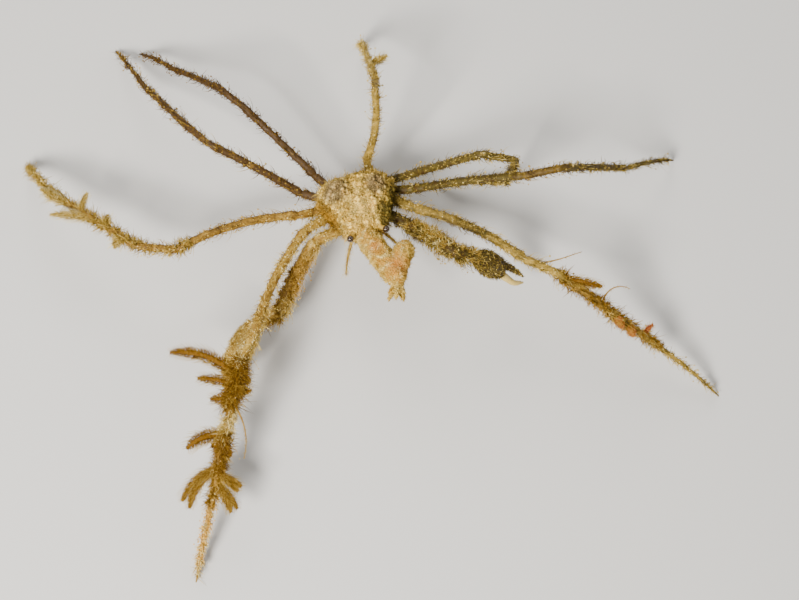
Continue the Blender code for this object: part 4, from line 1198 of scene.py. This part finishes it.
def feelerTube(side):
    yaw, rise = head.feelerWays[side]
    across, upwards = head.feelerTurn
    sunk, steps = head.feelerSunk, head.feelerSteps
    path = [np.array((head.feeler[0] * side, *head.feeler[1:])) - heading(yaw, rise) * sunk]
    for number in range(steps):
        share = number / steps
        way = heading(yaw - side * across * share, rise + upwards * share)
        path.append(path[-1] + way * ((head.feelerLength + sunk) / steps))
    run = np.linspace(0, 1, steps + 1)
    girth = head.feelerRadius * (1 - 0.72 * run) * (1 + 0.12 * np.cos(run * tau * head.feelerRings))
    return Tube(*evenly(inWorld(np.array(path)), girth, 0.1), upright)


def addHead():
    glass = Finish("eyeGlass", 0.12, Coat_Weight=0.6)
    glass.paint(glass.ramp(glass.noise(0.25, 3.0), (0.35, "eyeBlack"), (0.7, "eyeBrown")))
    glass.bump(glass.cells(0.09), 0.012, 0.35)
    stalks = limbFinish("stalks", False, *warm, 0.05)
    run = np.linspace(0.0, 1.0, 40)
    radius, (stalkRoot, stalkLength) = head.eyeRadius, head.stalkReach
    for side, word in ((-1, "right"), (1, "left")):
        yaw, rise = head.eyeWay
        way = turned(heading(yaw if side > 0 else -180.0 - yaw, rise))[0]
        root = inWorld((head.eye[0] * side, *head.eye[1:]))[0]
        girth = radius * np.sqrt(np.clip(1 - (2 * run - 1) ** 2, 0.0004, 1))
        eye = Tube(root + way * (radius + 2 * radius * run)[:, None], girth, upright)
        addPiece("eye_" + word, eye.skin(32), glass, ["eye_" + word])
        girth = head.stalk * (1 + 0.35 * hump(run, 0.0, 0.35) + 0.22 * hump(run, 0.92, 0.12))
        stalk = Tube(root + way * (stalkRoot + stalkLength * run)[:, None], girth, upright)
        skin = stalk.skin(24, lambda corners, share, turn: 0.02 * ripple(corners, 0.5, 3))
        addPiece("eyestalk_" + word, skin, stalks)
        feeler = feelerTube(side)
        addPiece("feeler_" + word, feeler.skin(12), stalks, ["antenna_" + word])
        draw = drawFor("feeler " + word)
        share, turn = allRound(draw, 0.12, 0.98, head.feelerHairs)
        hairs = bristlesOn(feeler, share, turn, draw, (0.3, 0.9), 0.045, 0.6)
        addCoat("coat_feeler_" + word, [hairs], finishes["cheliped_right"][1])


# Weed and small growths by limb: each one's segment, share of that, heading and its turn, rise, size and kind
Growth = namedtuple("Growth", "limb segment along yaw turn rise length width kind")
growths = [Growth(limb, *row) for limb, rows in {
    "leg2_right": (
        (3, 0.08, 114, 62, 12, 12.5, 2.2, "plume"),
        (3, 0.14, 138, 30, 4, 6.5, 1.7, "plume"),
        (3, 0.24, 164, 10, 10, 3.8, 1.6, "plume"),
        (3, 0.20, 4, -30, 8, 3.2, 1.4, "plume"),
        (3, 0.10, -20, 0, 10, 2.6, 1.9, "plume"),
        (3, 0.16, -34, 0, -10, 2.3, 1.8, "plume"),
        (3, 0.52, 158, 55, 4, 7.2, 2.3, "plume"),
        (3, 0.62, 156, 0, 6, 2.0, 2.0, "plume"),
        (3, 0.66, -34, 0, 4, 1.8, 1.8, "plume"),
        (3, 0.80, 181, 62, 4, 8.6, 2.6, "fan"),
        (3, 0.84, -40, -20, 6, 4.6, 2.2, "fan"),
        (3, 0.90, -66, -14, 2, 5.8, 2.2, "fan"),
        (3, 0.26, -68, -50, 2, 10.6, 0.7, "thread"),
        (3, 0.46, -14, 110, 14, 3.4, 0.6, "thread"),
        (3, 0.62, -22, 100, 10, 3.0, 0.6, "thread"),
    ),
    "leg2_left": (
        (2, 0.35, -8, 8, 14, 8.2, 0.7, "thread"),
        (3, 0.08, -28, -6, 10, 6.4, 1.5, "plume"),
        (3, 0.46, 78, -130, 14, 6.8, 0.9, "thread"),
        (3, 0.60, -88, 20, 0, 2.6, 1.6, "lobe"),
        (3, 0.74, -92, 20, 0, 2.4, 1.5, "lobe"),
        (3, 0.90, 44, -30, 6, 2.6, 1.1, "wine"),
    ),
    "leg3_right": (
        (3, 0.18, -140, 20, 4, 2.4, 1.8, "feather"),
        (3, 0.34, 60, 20, 6, 2.2, 1.6, "feather"),
        (3, 0.50, 154, 12, 4, 7.3, 1.7, "feather"),
        (3, 0.78, 148, -20, 8, 5.2, 1.5, "feather"),
        (3, 0.62, 66, -20, 10, 3.4, 1.3, "feather"),
    ),
    "leg5_left": (
        (3, 0.45, -6, 20, 16, 3.4, 1.6, "feather"),
    ),
}.items() for row in rows]
# A kind's tints from root to tip, its stem's share of the width and flatness, the step, width, tiers and lean
# of its combs, how wide it ends, and the headings of its blades
Kind = namedtuple("Kind", "finish core flat step branch tiers lean end blades", defaults=[None] * 8)
kinds = {
    "plume": Kind(("orange", "amber", "straw"), 0.21, 0.6, 0.2, 0.15, (-16, 16), 0.1, 0.75, (0.0,)),
    "fan": Kind(("amber", "gold", "straw"), 0.06, 0.8, 0.17, 0.12, (-30, 0, 30), 0.5, 0.7, (-6.0, 6.0)),
    "feather": Kind(("khaki", "straw", "bone"), 0.12, 0.8, 0.18, 0.12, (-36, 0, 36), 0.5, 0.5, (0.0,)),
    "lobe": Kind(("gold", "pink", "straw"), 0.40, 0.8, 0.2, 0.12, (-40, 0, 40), 0.4, 0.6, (0.0,)),
    "wine": Kind(("wine", "pink", "straw"), 0.3, 0.8, 0.22, 0.14, (-30, 30), 0.4, 0.6, (0.0,)),
    "thread": Kind(("gold", "straw", "bone")),
    "flake": Kind(("straw", "bone", "bone")),
}
threadRadius = 0.17
bladeSpread = 0.62  # half a blade's width with its combs, as a share of the growth's width
napShare = 3  # nap hairs for each branch
toothStep = 0.42


def growthLine(growth, swing=0.0):
    points, tube = jointsOf(growth.limb)[0], tubes[growth.limb]
    root = points[growth.segment] + (points[growth.segment + 1] - points[growth.segment]) * growth.along
    root = tube.line[np.linalg.norm(tube.line - root, axis=1).argmin()]
    steps = max(12, int(growth.length / 0.2))
    path = [root]
    for step in range(steps):
        share = (step + 0.5) / steps
        lift = growth.rise + 9 * math.sin(share * 7 + growth.along * 9) - abs(swing)
        way = heading(growth.yaw + swing + growth.turn * share, lift)
        path.append(path[-1] + way * (growth.length / steps))
    return np.array(path)


def threadParts(growth, draw, spotsAt):
    line = growthLine(growth)
    run = np.linspace(0, 1, len(line))
    stem = Tube(*evenly(line, threadRadius * (1 - 0.7 * run), fineStep), levelSide(growth.yaw))
    count = int(growth.length * 9)
    share, turn = allRound(draw, 0.05, 1.0, count)
    point, out, along = stem.at(share, turn)
    hairs = strands(point, unit(out + along * 0.3), along * 0.3, draw.uniform(0.15, 0.5, count), 0.06,
                    spotsAt(turn, share), draw.random(count))
    return stem.skin(12), [hairs]


# A blade is a flattened stem with combs of side branches on both edges, a short nap and pale teeth.
def bladeParts(growth, kind, swing, draw, spotsAt):
    wide = growth.width / (1.0 + 0.5 * (len(kind.blades) - 1))
    line = growthLine(growth, swing)
    run = np.linspace(0, 1, len(line))
    taper = np.minimum(1, 0.6 + 2.5 * run) * (1 - (1 - kind.end) * np.clip(run - 0.5, 0, 1) / 0.5)
    taper = taper * np.sqrt(np.clip((1.02 - run) / 0.25, 0.05, 1))
    line, girth = evenly(line, wide * kind.core * taper, fineStep)
    stem = Tube(line, np.maximum(girth, 0.07), levelSide(growth.yaw), kind.flat)

    def relief(corners, share, turn):
        return 0.05 * ripple(corners, 0.6, 71) + 0.03 * np.cos(share * growth.length * tau / 0.5)

    def reachAt(share, low, high):
        spread = wide * (bladeSpread - kind.core) * np.interp(share, run, taper)
        return spread * draw.uniform(low, high, len(share))
    tiers = np.radians(kind.tiers)
    turns = np.concatenate([tiers, math.pi - tiers])
    rows = int(growth.length / kind.step)
    count = rows * len(turns)
    share = np.repeat((np.arange(rows) + 0.5) / rows, len(turns)) + draw.normal(size=count) * 0.25 / rows
    share = np.clip(share, 0.01, 1.0)
    turn = np.tile(turns, rows) + draw.normal(size=count) * 0.18
    reach = reachAt(share, 0.6, 1.25)
    turn = np.concatenate([turn, draw.uniform(0, tau, napShare * count)])
    reach = np.concatenate([np.maximum(reach, 0.2), draw.uniform(0.12, 0.4, napShare * count)])
    share = np.concatenate([share, draw.random(napShare * count)])
    total = len(share)
    point, out, along = stem.at(share, turn)
    spots = spotsAt(turn, share)
    way = unit(out + along * (kind.lean * draw.uniform(0.4, 1.6, (total, 1))) + stray(draw, total, 0.12))
    bend = along * 0.5 + stray(draw, total, 0.2)
    width = np.where(np.arange(total) < count, kind.branch, 0.08) * draw.uniform(0.8, 1.25, total)
    parts = [strands(point - out * 0.05, way, bend, reach, width, spots, draw.random(total), blunt=0.6)]
    for spread in (-0.8, 0.8):
        across = unit(along[:count] + out[:count] * 0.5) * spread
        root = point[:count] + way[:count] * reach[:count, None] * 0.45
        parts.append(strands(root, unit(way[:count] + across), way[:count] * 0.3, reach[:count] * 0.4 + 0.05,
                             0.07, spots[:count], draw.random(count), rings=2, blunt=0.6))
    teeth = 2 * int(growth.length / toothStep)
    share = np.linspace(0.08, 1.0, teeth)
    turn = math.pi * (np.arange(teeth) % 2) + draw.normal(size=teeth) * 0.2
    point, out, along = stem.at(share, turn)
    comb = strands(point, unit(out + along * 0.5), along * 0.7, reachAt(share, 1.2, 1.6) + 0.25, 0.1,
                   spotsAt(turn, share), np.ones(teeth), rings=4, blunt=0.8)
    return stem.skin(14, relief), [*parts, comb._replace(tip=np.maximum(comb.tip, 0.75))]


def growthShape(growth, slot, slots):  # each growth has a column of the map to itself
    draw = drawFor(f"{growth.limb}{growth.segment}{growth.along}{growth.yaw}")

    def spotsAt(turn, share):
        return np.stack(((slot + 0.1 + 0.8 * (turn / tau % 1)) / slots, 0.05 + 0.9 * share), 1)
    if growth.kind == "thread":
        made = [threadParts(growth, draw, spotsAt)]
    else:
        kind = kinds[growth.kind]
        made = [bladeParts(growth, kind, swing, draw, spotsAt) for swing in kind.blades]
    stemSpot = ((slot + 0.5) / slots, 0.02)
    return joined([part for skin, parts in made for part in (plainBundle(*skin, stemSpot), *parts)])


weedFinishes = {}


def weedFinishFor(kind):
    if kind not in weedFinishes:
        weedFinishes[kind] = weedFinish("weed_" + kind, *kinds[kind].finish)
    return weedFinishes[kind]


def addWeed():
    groups = {}
    for growth in growths:
        groups.setdefault((growth.limb, growth.kind), []).append(growth)
    for (limb, kind), own in groups.items():
        shapes = [growthShape(growth, slot, len(own)) for slot, growth in enumerate(own)]
        addCoat(f"weed_{kind}_{limb}", shapes, weedFinishFor(kind))
    print("weed", counted["triangles"])


# Fringes of long hooked hairs by limb: from and to along all of it, turn round it, hairs, shortest, longest
fringes = {
    "leg2_right": ((0.30, 0.46, -0.3, 90, 1.0, 2.2), (0.46, 0.78, 0.1, 110, 0.9, 2.1),
                   (0.46, 0.78, math.pi, 110, 0.9, 2.1), (0.76, 0.95, 0.0, 60, 0.7, 1.4),
                   (0.76, 0.95, math.pi, 60, 0.7, 1.4)),
    "cheliped_right": ((0.25, 1.0, 0.0, 420, 0.8, 2.2),),
    "leg2_left": ((0.46, 0.78, math.pi, 110, 0.8, 1.9), (0.46, 0.78, 0.0, 100, 0.8, 1.9)),
    "leg3_right": ((0.34, 0.5, 0.0, 60, 0.8, 1.7), (0.6, 0.97, math.pi, 90, 0.8, 1.7)),
    "cheliped_left": ((0.2, 1.0, math.pi, 300, 0.9, 2.6), (0.2, 1.0, 0.0, 120, 0.7, 1.6)),
}
# Sleeves of small tufts: limb, from and to, tufts, shortest, longest, the growth whose colours they share
sleeveWidth = 0.12
sleevePaleness = 0.75
sleeves = (
    ("leg2_right", 0.45, 0.56, 260, 0.9, 2.4, "plume"),
    ("leg2_right", 0.56, 0.64, 34, 0.6, 1.5, "feather"),
    ("leg2_right", 0.62, 0.72, 170, 0.8, 1.8, "plume"),
    ("leg2_right", 0.70, 0.80, 40, 0.7, 1.6, "fan"),
    ("leg3_right", 0.47, 0.80, 150, 0.8, 1.7, "feather"),
    ("leg3_right", 0.80, 0.97, 46, 0.6, 1.4, "feather"),
    ("leg3_right", 0.36, 0.42, 22, 0.8, 1.6, "feather"),
    ("leg2_left", 0.47, 0.80, 110, 0.8, 1.7, "fan"),
    ("cheliped_left", 0.2, 1.0, 90, 0.8, 1.9, "thread"),
    ("cheliped_left", 0.5, 1.0, 22, 0.6, 1.5, "flake"),
    ("leg2_right", 0.55, 0.66, 26, 0.5, 1.3, "flake"),
    ("leg2_right", 0.44, 0.50, 12, 0.6, 1.5, "flake"),
    ("leg2_right", 0.575, 0.65, 22, 1.0, 2.0, "flake"),
    ("leg2_right", 0.79, 0.97, 34, 0.5, 1.1, "flake"),
    ("leg5_left", 0.08, 0.7, 26, 0.2, 0.5, "flake"),
    ("leg2_left", 0.06, 0.3, 10, 0.2, 0.6, "flake"),
    ("cheliped_right", 0.4, 1.0, 60, 0.7, 1.6, "fan"),
)


def addFringes():
    for name, rows in fringes.items():
        parts = []
        for low, high, side, count, short, long in rows:
            draw = drawFor(f"fringe {name} {low} {side}")
            share = draw.uniform(low, high, count)
            turn = side + draw.normal(size=count) * 0.3
            parts.append(bristlesOn(tubes[name], share, turn, draw, (short, long), 0.11, 0.9, 0.45, 5))
        addCoat("fringe_" + name, parts, finishes[name][1])
    for number, (name, low, high, count, short, long, kind) in enumerate(sleeves):
        draw = drawFor(f"sleeve {name} {low}")
        shape = tuftsOn(tubes[name], *allRound(draw, low, high, count), draw, (short, long), sleeveWidth)
        shape = shape._replace(tip=shape.tip * sleevePaleness)
        addCoat(f"sleeve{number}_{name}", [shape], weedFinishFor(kind))
    print("fringes", counted["triangles"])


for add in (addCamera, addStudio, addLimbs, addClaws, addBody, addUnderside, addSponge, addHead, addWeed,
            addFringes):
    add()
